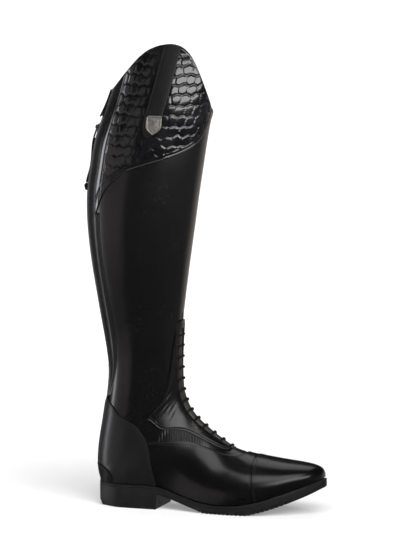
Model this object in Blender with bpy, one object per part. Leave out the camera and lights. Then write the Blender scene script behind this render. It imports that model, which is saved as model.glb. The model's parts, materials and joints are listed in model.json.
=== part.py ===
"""A right-foot field riding boot: tall shaft with a rear zip and a high outer collar, laced instep, low heel.

Lengths are in millimetres in the tables and are turned into metres when a mesh is made.
Toe along +X, the inner (medial) side along +Y, the outer (lateral) side along -Y, floor at z = 0.
"""

import math

import bmesh
import bpy
import numpy as np
from mathutils import Matrix, Vector

MM = 0.001

# Driving sizes of the boot
HEEL_HEIGHT = 27.0
WELT_WIDTH = 3.0
UPPER_WALL = 2.0
SEAT_GAP = 0.3
UPPER_SEAT = 0.45
OVERLAY_GAP = 0.8
OVERLAY_THICK = 1.0
INSOLE_THICK = 3.0
TONGUE_THICK = 1.5
ZIP_SLOT_HALF = 5.0
THROAT_HALF = 9.0
LINING_GAP = 1.15
SOLE_CLEARANCE = 0.6

# Outline of the sole seen from above.
# Columns: x (distance from the heel's back), outer edge's y, inner edge's y
OUTLINE = [
    (0.0, 0.0, 0.0),
    (2.8, -12.5, 12.5),
    (11.0, -24.0, 23.5),
    (30.0, -31.5, 30.0),
    (62.0, -32.5, 27.5),
    (96.0, -33.5, 23.5),
    (130.0, -40.0, 29.5),
    (160.0, -43.5, 38.5),
    (186.0, -42.5, 43.0),
    (211.0, -36.5, 42.0),
    (234.0, -26.0, 36.5),
    (253.0, -12.5, 28.0),
    (264.0, -1.0, 18.5),
    (267.5, 8.5, 8.5),
]

# Height of the sole's upper edge, where the upper's wall stands. Columns: x, z
SOLE_TOP = [
    (-5.0, HEEL_HEIGHT),
    (64.0, HEEL_HEIGHT),
    (80.0, 25.2),
    (108.0, 17.4),
    (131.0, 11.8),
    (153.0, 9.8),
    (173.0, 10.8),
    (197.0, 15.0),
    (225.0, 24.0),
    (250.0, 33.2),
    (268.0, 40.5),
]

# Height of the sole's underside in front of the heel: arch, flat forefoot, toe spring. Columns: x, z
SOLE_UNDER = [
    (77.5, 17.6),
    (92.0, 13.4),
    (108.0, 8.4),
    (123.0, 4.0),
    (138.0, 0.0),
    (184.0, 0.0),
    (198.0, 2.8),
    (213.0, 7.2),
    (238.0, 16.4),
    (256.0, 24.2),
    (268.0, 30.5),
]

# Foot sections, toe to heel. base_x is where the section meets the sole, ridge is its top on the instep line,
# half the half width, widest its height share, crown the roundness of its top, middle its centre line,
# bulge the width as a share of the sole's.
# Columns: base_x, ridge_x, ridge_z, half, widest, crown, middle, bulge
FOOT = [
    (247.0, 263.6, 39.2, 10.0, 0.00, 2.15, 8.5, 1.00),
    (244.5, 263.4, 45.0, 10.0, 0.10, 2.15, 8.5, 1.01),
    (239.0, 260.4, 50.2, 10.0, 0.18, 2.15, 8.3, 1.02),
    (231.0, 252.4, 53.8, 10.0, 0.22, 2.10, 8.0, 1.03),
    (219.0, 238.0, 56.4, 10.0, 0.24, 2.05, 7.6, 1.04),
    (202.0, 217.0, 58.8, 10.0, 0.26, 2.00, 7.0, 1.04),
    (183.0, 196.0, 61.8, 10.0, 0.27, 1.95, 6.4, 1.04),
    (161.0, 176.0, 65.4, 22.0, 0.28, 1.90, 5.6, 1.03),
    (139.0, 157.8, 71.2, 25.0, 0.29, 1.84, 4.6, 1.03),
    (117.0, 141.0, 82.4, 27.0, 0.30, 1.80, 3.4, 1.04),
    (95.0, 126.2, 93.8, 29.0, 0.31, 1.80, 2.2, 1.05),
    (73.0, 114.3, 104.8, 31.0, 0.32, 1.82, 1.2, 1.05),
    (51.0, 106.4, 115.2, 32.5, 0.34, 1.86, 0.5, 1.06),
    (31.0, 102.0, 124.8, 33.5, 0.36, 1.90, 0.2, 1.06),
    (14.5, 99.2, 134.0, 34.0, 0.38, 1.94, 0.0, 1.06),
]

# Shaft sections, heel to top, each a closed ring from a point on the back line to one on the front line.
# Columns: back_x, back_z, front_x, front_z, half, widest, crown, middle, bulge
SHAFT = [
    (3.4, HEEL_HEIGHT, 97.8, 143.0, 34.2, 0.41, 1.97, 0.0, 1.0),
    (-0.2, 44.0, 97.2, 152.0, 34.4, 0.44, 2.00, 0.0, 1.0),
    (-0.1, 60.0, 96.8, 162.0, 34.5, 0.46, 2.00, 0.0, 1.0),
    (2.0, 78.0, 96.6, 173.0, 34.6, 0.48, 2.00, 0.0, 1.0),
    (5.0, 96.0, 96.6, 184.5, 34.8, 0.49, 2.00, 0.0, 1.0),
    (8.0, 115.0, 96.9, 197.0, 35.2, 0.49, 2.00, 0.0, 1.0),
    (10.6, 134.0, 97.5, 210.0, 36.0, 0.49, 2.02, 0.0, 1.0),
    (11.9, 154.0, 98.3, 224.0, 37.0, 0.48, 2.04, 0.0, 1.0),
    (9.9, 175.0, 99.8, 238.5, 38.6, 0.48, 2.06, 0.0, 1.0),
    (6.2, 198.0, 101.7, 254.0, 40.8, 0.48, 2.08, 0.0, 1.0),
    (1.9, 222.0, 103.8, 271.0, 43.4, 0.47, 2.10, 0.0, 1.0),
    (-2.6, 248.0, 106.2, 289.0, 46.2, 0.47, 2.10, 0.0, 1.0),
    (-7.2, 275.0, 108.8, 308.0, 48.6, 0.47, 2.10, 0.0, 1.0),
    (-11.0, 303.0, 111.8, 329.0, 50.4, 0.47, 2.10, 0.0, 1.0),
    (-13.4, 332.0, 114.8, 351.0, 51.4, 0.48, 2.10, 0.0, 1.0),
    (-13.2, 362.0, 118.2, 374.0, 52.0, 0.49, 2.10, 0.0, 1.0),
    (-9.0, 392.0, 121.8, 397.0, 52.6, 0.50, 2.08, 0.0, 1.0),
    (-3.8, 420.0, 125.4, 420.0, 53.4, 0.50, 2.06, 0.0, 1.0),
    (6.0, 449.0, 130.6, 449.0, 54.4, 0.50, 2.04, 0.0, 1.0),
    (16.6, 478.0, 136.6, 478.0, 55.2, 0.50, 2.02, 0.0, 1.0),
    (25.0, 507.0, 142.8, 507.0, 55.6, 0.50, 2.02, 0.0, 1.0),
    (32.8, 536.0, 148.6, 536.0, 55.6, 0.50, 2.02, 0.0, 1.0),
    (40.0, 565.0, 154.0, 565.0, 55.6, 0.50, 2.02, 0.0, 1.0),
]

# Height of the collar around the leg. -1 and 1 are the back, 0 the front, negative the outer side.
# Columns: turn, z
COLLAR = [
    (-1.00, 479.0),
    (-0.91, 480.5),
    (-0.84, 485.5),
    (-0.77, 496.0),
    (-0.70, 510.0),
    (-0.64, 522.5),
    (-0.575, 532.0),
    (-0.50, 537.5),
    (-0.44, 539.0),
    (-0.38, 536.8),
    (-0.32, 530.0),
    (-0.25, 515.5),
    (-0.16, 492.5),
    (-0.08, 474.5),
    (0.00, 460.5),
    (0.07, 456.0),
    (0.14, 456.5),
    (0.35, 463.0),
    (0.60, 472.0),
    (0.85, 478.5),
    (1.00, 479.0),
]
COLLAR_PEAK = 539.0

# Lower edge of the patent cuff, from the back seam round the outer side to the front. Columns: turn, z
CUFF_EDGE = [
    (-0.765, 336.0),
    (-0.74, 345.0),
    (-0.70, 361.0),
    (-0.64, 376.0),
    (-0.56, 389.0),
    (-0.44, 398.5),
    (-0.33, 405.0),
    (-0.22, 412.0),
    (-0.13, 420.0),
    (-0.06, 431.0),
    (0.00, 444.0),
    (0.05, 452.0),
]

# Facing: its outer edge as station and distance from the instep line, and the throat's station across.
# Columns: edge_station, edge_reach, throat_station
FACING = [
    (8.00, 12.5, 7.95),
    (8.50, 17.8, 8.40),
    (9.25, 20.3, 9.05),
    (10.00, 22.4, 9.70),
    (10.65, 25.2, 10.25),
    (11.20, 29.7, 10.75),
    (11.80, 37.1, 11.25),
    (12.60, 48.3, 11.75),
    (13.20, 53.4, 12.20),
    (13.75, 56.0, 12.65),
    (14.50, 60.0, 13.10),
    (15.10, 63.5, 13.55),
    (15.05, 50.0, 14.10),
    (15.35, 37.4, 14.80),
    (16.35, 28.5, 16.00),
    (17.75, 22.3, 17.50),
    (19.20, 18.8, 19.00),
    (20.30, 16.0, 20.10),
]

# Front edge of the counter. Columns: station, distance from the instep line
COUNTER_EDGE = [
    (10.85, 99.0),
    (11.35, 90.6),
    (11.90, 82.2),
    (12.50, 75.8),
    (13.35, 73.0),
    (14.35, 75.6),
    (15.50, 81.6),
    (16.75, 93.2),
    (17.95, 106.0),
    (19.00, 116.0),
    (20.40, 134.0),
]

# Top seam of the vamp, from the throat's base back to the counter. Columns: station, turn
VAMP_EDGE = [
    (7.05, 0.00),
    (7.15, 0.11),
    (7.45, 0.205),
    (8.00, 0.25),
    (8.70, 0.275),
    (9.40, 0.30),
    (9.95, 0.33),
    (10.45, 0.36),
    (11.10, 0.42),
    (12.15, 0.49),
    (13.05, 0.53),
]

# Stations count the sections from the toe (0) over the heel to the top of the shaft
STATION_HEEL = float(len(FOOT))
STATION_RING = STATION_HEEL + 17.0
RING_STEP = 29.0
RING_BASE_Z = 420.0
STATION_ZIP = STATION_HEEL + 7.4
THROAT_LOW, THROAT_HIGH = 7.75, 20.6
CAP_RIDGE_X, CAP_SWEEP = 187.0, 7.5


def blend(a, b, share):
    """Value a share of the way from a to b."""
    return a + (b - a) * share


def eased(share):
    """Share that leaves 0 and reaches 1 gently."""
    share = min(max(share, 0.0), 1.0)
    return share**2 * (3 - 2 * share)


def steps(first, last, count):
    """Evenly spaced values from first to last."""
    return [blend(first, last, k / (count - 1)) for k in range(count)]


def smooth(value, table):
    """Value of a two-column table between its rows, on a curve that never overshoots them."""
    x = np.array([row[0] for row in table], float)
    y = np.array([row[1] for row in table], float)
    step = np.diff(x)
    slope = np.diff(y) / step
    tangent = np.zeros(len(x))
    tangent[0], tangent[-1] = slope[0], slope[-1]
    for i in range(1, len(x) - 1):
        if slope[i - 1] * slope[i] > 0:
            before, after = 2 * step[i] + step[i - 1], step[i] + 2 * step[i - 1]
            tangent[i] = (before + after) / (before / slope[i - 1] + after / slope[i])
    value = min(max(value, x[0]), x[-1])
    i = min(int(np.searchsorted(x, value, side="right")) - 1, len(step) - 1)
    u = (value - x[i]) / step[i]
    ends = (1 + 2 * u) * (1 - u) ** 2 * y[i] + u * u * (3 - 2 * u) * y[i + 1]
    slopes = u * (1 - u) ** 2 * tangent[i] - u * u * (1 - u) * tangent[i + 1]
    return float(ends + step[i] * slopes)


def through(rows, station):
    """A row between the rows of a table, on a smooth curve through them all."""
    rows = np.asarray(rows, float)
    station = min(max(station, 0.0), len(rows) - 1.0)
    i = min(int(station), len(rows) - 2)
    u = station - i
    before = rows[i - 1] if i > 0 else 2 * rows[i] - rows[i + 1]
    after = rows[i + 2] if i + 2 < len(rows) else 2 * rows[i + 1] - rows[i]
    return 0.5 * (
        2 * rows[i]
        + (rows[i + 1] - before) * u
        + (2 * before - 5 * rows[i] + 4 * rows[i + 1] - after) * u**2
        + (3 * rows[i] - before - 3 * rows[i + 1] + after) * u**3
    )


OUTLINE_POINTS = 400


def outline_branches(inset):
    """Outer and inner edges of the sole as fine (x, y) lines, moved inwards by inset."""
    dense = np.linspace(0, len(OUTLINE) - 1, OUTLINE_POINTS)
    rows = np.array([through(OUTLINE, s) for s in dense])
    branches = []
    for column, side in ((1, -1.0), (2, 1.0)):
        line = rows[:, [0, column]]
        along = np.gradient(line, axis=0)
        along /= np.linalg.norm(along, axis=1)[:, None] + 1e-12
        inward = np.stack([along[:, 1], -along[:, 0]], axis=1) * side
        branches.append(line + inward * inset)
    return branches


SOLE_BRANCHES = outline_branches(0.0)
FEATHER_BRANCHES = outline_branches(WELT_WIDTH)


def edge_y(branches, x):
    """Y of the outer and the inner edge at x."""
    found = []
    for line in branches:
        order = np.argsort(line[:, 0])
        found.append(float(np.interp(x, line[order, 0], line[order, 1])))
    return found


def sole_top(x):
    """Height of the sole's upper edge at x."""
    return smooth(x, SOLE_TOP)


def section_rows():
    """Foot and shaft sections in one table, with the shaft's columns."""
    foot = [
        (base_x, sole_top(base_x) + UPPER_SEAT, ridge_x, ridge_z, half, widest, crown, middle, bulge)
        for base_x, ridge_x, ridge_z, half, widest, crown, middle, bulge in FOOT
    ]
    heel = [(SHAFT[0][0], SHAFT[0][1] + UPPER_SEAT) + SHAFT[0][2:]]
    return np.array(foot + heel + SHAFT[1:], float)


SECTIONS = section_rows()
WIDTH_POWER = 10
ARC_POINTS = 40
_half_outlines = {}


def section(station):
    """Section at a station. A foot section stands on the sole's edge."""
    row = through(SECTIONS, station)
    if station < STATION_HEEL:
        row[1] = sole_top(row[0]) + UPPER_SEAT
    return row


def half_outline(station, side):
    """Ridge-to-base half of a section as (along the section, across, running length)."""
    key = (round(station, 5), side)
    if key in _half_outlines:
        return _half_outlines[key]
    back_x, back_z, front_x, front_z, half, widest, crown, middle, bulge = section(station)
    length = math.hypot(front_x - back_x, front_z - back_z)
    base = 0.0
    if station < STATION_HEEL:
        outer, inner = edge_y(FEATHER_BRANCHES, back_x)
        base = max((middle - outer) if side < 0 else (inner - middle), 0.0)
    width = (half**WIDTH_POWER + (base * bulge) ** WIDTH_POWER) ** (1 / WIDTH_POWER)
    top = np.linspace(0, math.pi / 2, ARC_POINTS)
    along = widest + (1 - widest) * np.cos(top) ** (2 / crown)
    across = width * np.sin(top) ** (2 / crown)
    share = base / width
    if share > 0.995 or widest < 0.02:
        low_along, low_across = np.array([0.0]), np.array([base])
    else:
        last = math.pi - math.asin(share)
        low = np.linspace(math.pi / 2, last, ARC_POINTS)[1:]
        depth = widest / max(abs(math.cos(last)), 1e-6)
        low_along = widest - depth * np.abs(np.cos(low))
        low_across = width * np.sin(low)
    along = np.concatenate([along, low_along]) * length
    across = np.concatenate([across, low_across])
    run = np.concatenate([[0], np.cumsum(np.hypot(np.diff(along), np.diff(across)))])
    _half_outlines[key] = (along, across, run)
    return _half_outlines[key]


def half_length(station, side):
    """Length along the skin from the ridge to the base or the back line."""
    return float(half_outline(station, side)[2][-1])


def skin(station, turn):
    """Point of the upper's outer surface. turn is 0 on the ridge, -1 at the outer base or back, 1 inside."""
    side = -1.0 if turn < 0 else 1.0
    along, across, run = half_outline(station, side)
    reach = min(abs(turn), 1.0) * run[-1]
    at_along, at_across = np.interp(reach, run, along), np.interp(reach, run, across)
    back_x, back_z, front_x, front_z, _, _, _, middle, _ = section(station)
    length = math.hypot(front_x - back_x, front_z - back_z)
    share = at_along / length
    return np.array(
        [
            back_x + (front_x - back_x) * share,
            middle + side * at_across,
            back_z + (front_z - back_z) * share,
        ]
    )


SMALL_STATION, SMALL_TURN = 0.04, 0.012


def skin_normal(station, turn):
    """Outward direction of the upper's surface."""
    low_t, high_t = max(station - SMALL_STATION, 0.0), station + SMALL_STATION
    low_q, high_q = max(turn - SMALL_TURN, -1.0), min(turn + SMALL_TURN, 1.0)
    up = skin(high_t, turn) - skin(low_t, turn)
    round_leg = skin(station, high_q) - skin(station, low_q)
    normal = np.cross(round_leg, up)
    if station >= STATION_HEEL and abs(turn) > 1 - SMALL_TURN:
        normal[1] *= (1 - abs(turn)) / SMALL_TURN
    return normal / np.linalg.norm(normal)


def lifted(station, turn, height):
    """Point at a height above the skin."""
    return skin(station, turn) + skin_normal(station, turn) * height


def station_at_height(z):
    """Station of the level ring at height z in the top of the shaft."""
    return STATION_RING + (z - RING_BASE_Z) / RING_STEP


def collar_station(turn):
    """Station of the collar's edge at this turn."""
    return station_at_height(smooth(turn, COLLAR))


def level_station(z, turn):
    """Station of the shaft where the skin at this turn reaches height z."""
    low, high = STATION_HEEL, len(SECTIONS) - 1.0
    for _ in range(40):
        mid = (low + high) / 2
        if skin(mid, turn)[2] < z:
            low = mid
        else:
            high = mid
    return (low + high) / 2


def turn_of(station, distance):
    """Turn at a distance from the ridge measured along the skin, negative on the outer side."""
    return distance / half_length(station, -1.0 if distance < 0 else 1.0)


def turn_from_back(station, distance):
    """Turn at a distance from the back line measured along the skin, negative on the outer side."""
    side = -1.0 if distance < 0 else 1.0
    return side * (1 - abs(distance) / half_length(station, side))


def cap_station(turn, behind=0.0):
    """Station of the toe cap's line at this turn, or of a line some way behind it."""
    x = CAP_RIDGE_X + CAP_SWEEP * abs(turn) - behind
    low, high = 0.0, STATION_HEEL
    for _ in range(40):
        mid = (low + high) / 2
        if skin(mid, turn)[0] > x:
            low = mid
        else:
            high = mid
    return (low + high) / 2


def plain_material(name, colour, roughness, metallic=0.0):
    """A Principled material of one colour."""
    material = bpy.data.materials.new(name)
    material.use_nodes = True
    shader = material.node_tree.nodes["Principled BSDF"]
    shader.inputs["Base Color"].default_value = (*colour, 1.0)
    shader.inputs["Roughness"].default_value = roughness
    shader.inputs["Metallic"].default_value = metallic
    return material


def add_object(name, mesh, material, root, angle=40.0):
    """A named object under the root empty, shaded smooth up to an edge angle in degrees."""
    mesh.shade_smooth()
    mesh.set_sharp_from_angle(angle=math.radians(angle))
    obj = bpy.data.objects.new(name, mesh)
    bpy.context.scene.collection.objects.link(obj)
    obj.data.materials.append(material)
    obj.parent = root
    return obj


def named_mesh(name, mesh):
    """Turns a working mesh into a finished one."""
    made = bpy.data.meshes.new(name)
    mesh.to_mesh(made)
    mesh.free()
    return made


def walled_mesh(name, outer, inner, kept=None, joined_rows=()):
    """A closed wall between two grids of points. kept marks the grid cells that have material.

    In joined_rows the first and last columns are the same points, so the wall closes round the leg.
    """
    rows, columns = outer.shape[:2]
    if kept is None:
        kept = np.ones((rows - 1, columns - 1), bool)
    mesh = bmesh.new()
    layers = []
    for points in (outer, inner):
        layer = {}
        for i in range(rows):
            for j in range(columns):
                if j == columns - 1 and i in joined_rows:
                    layer[i, j] = layer[i, 0]
                else:
                    layer[i, j] = mesh.verts.new(points[i, j] * MM)
        layers.append(layer)
    outside, inside = layers
    partner = {outside[key]: inside[key] for key in outside}
    edges = {}
    for i in range(rows - 1):
        for j in range(columns - 1):
            if not kept[i, j]:
                continue
            corners = [outside[i, j], outside[i, j + 1], outside[i + 1, j + 1], outside[i + 1, j]]
            mesh.faces.new(corners)
            mesh.faces.new([partner[v] for v in reversed(corners)])
            for a, b in zip(corners, corners[1:] + corners[:1]):
                edges[a, b] = edges.get((a, b), 0) + 1
    for a, b in edges:
        if (b, a) not in edges:
            mesh.faces.new([b, a, partner[a], partner[b]])
    loose = [v for v in mesh.verts if not v.link_faces]
    bmesh.ops.delete(mesh, geom=loose, context="VERTS")
    if mesh.calc_volume(signed=True) < 0:
        bmesh.ops.reverse_faces(mesh, faces=mesh.faces[:])
    bmesh.ops.triangulate(mesh, faces=mesh.faces[:])
    return named_mesh(name, mesh)


def overlay_mesh(name, places, low, high, kept=None, joined_rows=()):
    """A sheet over the skin. places is a grid of (station, turn), low and high are its two heights."""
    rows, columns = len(places), len(places[0])
    outer, inner = np.zeros((rows, columns, 3)), np.zeros((rows, columns, 3))
    for i in range(rows):
        for j in range(columns):
            station, turn = places[i][j]
            at, normal = skin(station, turn), skin_normal(station, turn)
            floor = low(i, j) if callable(low) else low
            roof = high(i, j) if callable(high) else high
            outer[i, j], inner[i, j] = at + normal * roof, at + normal * floor
    return walled_mesh(name, outer, inner, kept, joined_rows)


# The upper

UPPER_FOOT_STATIONS = steps(0.0, 7.0, 8) + [THROAT_LOW] + steps(8.4, 12.5, 7)
UPPER_LEG_STATIONS = [13.3, 14.0, 14.45, 14.78, STATION_HEEL] + steps(16.0, THROAT_HIGH, 6)
UPPER_SHAFT_STATIONS = [21.5, STATION_ZIP] + steps(STATION_ZIP + 1.1, STATION_RING, 9)
COLLAR_STEPS = 4
COLUMNS_PER_SIDE = 11
COLUMN_CROWDING = 1.2
THROAT_MAX_TURN = 0.22
THROAT_END_SHARE = 0.45


def throat_half(station):
    """Half width of the lacing opening, narrowing to its rounded ends."""
    share = (station - THROAT_LOW) / (THROAT_HIGH - THROAT_LOW)
    share = min(max(share, 0.0), 1.0)
    return THROAT_HALF * blend(THROAT_END_SHARE, 1.0, math.sin(math.pi * share) ** 0.5)


def column_turns(station):
    """Turns of the grid columns: the throat's edges, then steps closing up towards the base or the zip."""
    ends = []
    for side in (-1.0, 1.0):
        full = half_length(station, side)
        first = min(throat_half(station) / full, THROAT_MAX_TURN)
        last = 1.0 - (ZIP_SLOT_HALF / full if station > STATION_ZIP - 0.01 else 0.0)
        shares = [1 - (1 - s) ** COLUMN_CROWDING for s in steps(0.0, 1.0, COLUMNS_PER_SIDE)]
        ends.append([side * blend(first, last, share) for share in shares])
    return ends[0][::-1] + [0.0] + ends[1]


def upper_mesh():
    """The shaft and foot as one wall: open below, at the collar, at the throat and along the zip."""
    stations = UPPER_FOOT_STATIONS + UPPER_LEG_STATIONS + UPPER_SHAFT_STATIONS
    grid = [[(s, t) for t in column_turns(s)] for s in stations]
    top_turns = column_turns(STATION_RING)
    for k in range(1, COLLAR_STEPS + 1):
        grid.append([(blend(STATION_RING, collar_station(t), k / COLLAR_STEPS), t) for t in top_turns])
    rows, columns = len(grid), len(grid[0])
    outer, inner = np.zeros((rows, columns, 3)), np.zeros((rows, columns, 3))
    for i in range(rows):
        for j in range(columns):
            station, turn = grid[i][j]
            normal = skin_normal(station, turn)
            on_sole = station < STATION_HEEL and j in (0, columns - 1) or i == 0
            if on_sole:
                normal = np.array([normal[0], normal[1], 0.0]) / math.hypot(normal[0], normal[1])
            outer[i, j] = skin(station, turn)
            inner[i, j] = outer[i, j] - normal * UPPER_WALL
    kept = np.ones((rows - 1, columns - 1), bool)
    middle = columns // 2
    for i in range(rows - 1):
        low, high = grid[i][middle][0], grid[i + 1][middle][0]
        if low >= THROAT_LOW - 0.01 and high <= THROAT_HIGH + 0.01:
            kept[i, middle - 1 : middle + 1] = False
    heel_to_zip = [
        i
        for i in range(rows)
        if STATION_HEEL - 0.01 <= grid[i][0][0] <= STATION_ZIP - 0.02
    ]
    return walled_mesh("upper", outer, inner, kept, heel_to_zip)


# Sole and insole

HEEL_BREAST_X = 75.5
HEEL_BREAST_SLOPE = 2.0
HEEL_TAPER = 1.8
HEEL_LEAN_RUN = 30.0
UNDER_ROUND = 1.2
SIDE_BREAK = 0.55
SIDE_LEAN = 0.45
SOLE_LEAST_HALF = 0.6
SOLE_END_HALF = 0.3
SOLE_STATIONS_PLAIN = 40
RIB_FROM, RIB_TO = 128.0, 230.0
RIB_PITCH = 5.1
RIB_DEPTH = 2.0
RIB_WALL = 0.5
RIB_SHARE = 0.6
RIB_CLEAR = 0.8
SOLE_LIP = 0.8


def sole_under(x):
    """Height of the sole's plain underside, with the heel on the floor."""
    return 0.0 if x <= HEEL_BREAST_X else smooth(x, SOLE_UNDER)


def sole_stations():
    """Distances along the sole where it has a section, with the rib's four corners for each rib."""
    first, last = OUTLINE[0][0], OUTLINE[-1][0]
    turns = steps(0.0, math.pi, SOLE_STATIONS_PLAIN)
    plain = [blend(first, last, (1 - math.cos(turn)) / 2) for turn in turns]
    breast = (HEEL_BREAST_X, HEEL_BREAST_X + HEEL_BREAST_SLOPE)
    marks = [(x, 0.0) for x in breast]
    for x in plain:
        among_ribs = RIB_FROM - RIB_CLEAR < x < RIB_TO + RIB_CLEAR
        at_breast = breast[0] - RIB_CLEAR < x < breast[1] + RIB_CLEAR
        if not among_ribs and not at_breast:
            marks.append((x, 0.0))
    count = int((RIB_TO - RIB_FROM) / RIB_PITCH)
    for k in range(count):
        start = RIB_FROM + k * RIB_PITCH
        land = RIB_PITCH * RIB_SHARE
        marks += [
            (start, 0.0),
            (start + land, 0.0),
            (start + land + RIB_WALL, RIB_DEPTH),
            (start + RIB_PITCH - RIB_WALL, RIB_DEPTH),
        ]
    return sorted(marks)


def sole_mesh():
    """Moulded outsole with heel: a side wall of four lines round the outline, closed above and below."""
    mesh = bmesh.new()
    marks = sole_stations()
    rings = []
    for x, groove in marks:
        top = sole_top(x)
        under = sole_under(x) + groove
        outer, inner = edge_y(SOLE_BRANCHES, x)
        middle, half = (outer + inner) / 2, max((inner - outer) / 2, SOLE_LEAST_HALF)
        taper = HEEL_TAPER * max(0.0, 1 - x / HEEL_BREAST_X) + UNDER_ROUND
        lean = HEEL_TAPER * max(0.0, 1 - x / HEEL_LEAN_RUN)
        ring = []
        for side in (-1.0, 1.0):
            levels = [
                (half - SOLE_LIP, top, 0.0),
                (half, top - SOLE_LIP, 0.0),
                (half, blend(top, under, SIDE_BREAK), SIDE_LEAN * lean),
                (half - taper, under, lean),
            ]
            line = []
            for reach, z, forward in levels:
                y = middle + side * max(reach, SOLE_END_HALF)
                line.append(mesh.verts.new(Vector((x + forward, y, z)) * MM))
            ring.append(line)
        rings.append(ring)
    for before, after in zip(rings, rings[1:]):
        for side in (0, 1):
            for k in range(3):
                quad = [before[side][k], before[side][k + 1], after[side][k + 1], after[side][k]]
                mesh.faces.new(quad if side == 0 else quad[::-1])
        mesh.faces.new([before[0][0], after[0][0], after[1][0], before[1][0]])
        mesh.faces.new([before[0][3], before[1][3], after[1][3], after[0][3]])
    for ring, flip in ((rings[0], False), (rings[-1], True)):
        loop = ring[0] + ring[1][::-1]
        mesh.faces.new(loop[::-1] if flip else loop)
    bmesh.ops.recalc_face_normals(mesh, faces=mesh.faces[:])
    bmesh.ops.triangulate(mesh, faces=mesh.faces[:])
    return named_mesh("outsole", mesh)


INSOLE_INSET = WELT_WIDTH + UPPER_WALL + 1.2
INSOLE_END_TRIM = 1.0
INSOLE_STATIONS, INSOLE_COLUMNS = 20, 3


def insole_mesh():
    """A thin footbed lying on the sole inside the upper's wall."""
    branches = outline_branches(INSOLE_INSET)
    first = max(line[:, 0].min() for line in branches) + INSOLE_END_TRIM
    last = min(line[:, 0].max() for line in branches) - INSOLE_END_TRIM
    outer, inner = [], []
    for k in range(INSOLE_STATIONS):
        x = blend(first, last, (1 - math.cos(math.pi * k / (INSOLE_STATIONS - 1))) / 2)
        low_y, high_y = edge_y(branches, x)
        line = [np.array([x, blend(low_y, high_y, share), 0.0]) for share in steps(0.0, 1.0, INSOLE_COLUMNS)]
        top = sole_top(x) + SEAT_GAP + INSOLE_THICK
        outer.append([p + np.array([0, 0, top]) for p in line])
        inner.append([p + np.array([0, 0, top - INSOLE_THICK]) for p in line])
    return walled_mesh("insole", np.array(outer), np.array(inner))


# Overlays on the upper

def sole_turn(station, side, height):
    """Turn at which a point lifted off the skin stands just above the sole."""
    low, high = 0.5, 1.0
    for _ in range(30):
        mid = (low + high) / 2
        at = lifted(station, side * mid, height)
        if at[2] - sole_top(at[0]) > SOLE_CLEARANCE:
            low = mid
        else:
            high = mid
    return side * low


OVERLAY_TOP = OVERLAY_GAP + OVERLAY_THICK
CAP_ROWS, CAP_COLUMNS = 7, 17
CAP_FIRST = 0.3


def toe_cap_mesh():
    """Toe cap from the toe's tip back to its curved line."""
    places = []
    for along in steps(0.0, 1.0, CAP_ROWS):
        row = []
        for share in steps(-1.0, 1.0, CAP_COLUMNS):
            side = -1.0 if share < 0 else 1.0
            station = blend(CAP_FIRST, cap_station(share), along)
            row.append((station, abs(share) * sole_turn(station, side, OVERLAY_TOP)))
        places.append(row)
    return overlay_mesh("toe_cap", places, OVERLAY_GAP, OVERLAY_TOP)


VAMP_THICK = 0.9
VAMP_CAP_GAP = 2.2
VAMP_BACK_LOW = 10.7
VAMP_BOW = 0.42
VAMP_SIDE_COLUMNS, VAMP_FRONT_COLUMNS, VAMP_ROWS = 10, 8, 7


def vamp_mesh():
    """Vamp from the cap line back to the counter, its top seam below the facing and round the throat."""
    height = OVERLAY_GAP + VAMP_THICK
    cap = cap_station(-1.0, VAMP_CAP_GAP)
    back, shoulder = VAMP_EDGE[-1], VAMP_EDGE[3]
    stations = [(turn, station) for station, turn in VAMP_EDGE]
    halves = []
    for side in (-1.0, 1.0):
        columns = []
        for share in steps(0.0, 1.0, VAMP_SIDE_COLUMNS):
            low = blend(VAMP_BACK_LOW, cap, share)
            high = blend(back[0], shoulder[0], share)
            bow = VAMP_BOW * max(1 - 3 * share, 0.0)
            columns.append((low, sole_turn(low, side, height), high, side * smooth(high, VAMP_EDGE), bow))
        edge = abs(columns[-1][1])
        for share in steps(0.0, 1.0, VAMP_FRONT_COLUMNS)[1:]:
            low = side * blend(edge, 0.0, share)
            high = side * blend(shoulder[1], 0.0, share)
            columns.append((cap_station(low, VAMP_CAP_GAP), low, smooth(abs(high), stations), high, 0.0))
        halves.append(columns)
    columns = halves[0] + halves[1][-2::-1]
    places = []
    for up in steps(0.0, 1.0, VAMP_ROWS):
        row = []
        for low_station, low_turn, high_station, high_turn, bow in columns:
            station = blend(low_station, high_station, up) - 4 * bow * up * (1 - up)
            row.append((station, blend(low_turn, high_turn, up)))
        places.append(row)
    return overlay_mesh("vamp", places, OVERLAY_GAP, height)


WRAP_CROWDING = 1.35


def heel_wrap_mesh(name, stations, edge, columns, low, high):
    """A panel round the heel, from its front edge on one side to that on the other, whole across the back."""
    places = []
    for station in stations:
        row = []
        for side in (-1.0, 1.0):
            front = edge(station) / half_length(station, side)
            back = 1.0 if station >= STATION_HEEL else abs(sole_turn(station, side, high))
            shares = [share**WRAP_CROWDING for share in steps(0.0, 1.0, columns)]
            half = [(station, side * blend(back, front, share)) for share in shares]
            row += half if side < 0 else half[::-1]
        places.append(row)
    kept = np.ones((len(places) - 1, 2 * columns - 1), bool)
    kept[:, columns - 1] = False
    joined = [i for i, station in enumerate(stations) if station >= STATION_HEEL]
    return overlay_mesh(name, places, low, high, kept, joined)


COUNTER_STATIONS = steps(10.95, 14.2, 7) + [14.55, 14.8] + steps(15.12, COUNTER_EDGE[-1][0], 8)
COUNTER_COLUMNS = 9


def counter_edge(station):
    """Distance of the counter's front edge from the instep line."""
    return smooth(station, COUNTER_EDGE)


def counter_mesh():
    """Heel counter with its curved front seam."""
    return heel_wrap_mesh(
        "counter", COUNTER_STATIONS, counter_edge, COUNTER_COLUMNS, OVERLAY_GAP, OVERLAY_TOP
    )


HEEL_TAB_LOW = OVERLAY_TOP + 0.6
HEEL_TAB_THICK = 0.7
HEEL_TAB_COLUMNS = 6

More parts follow.
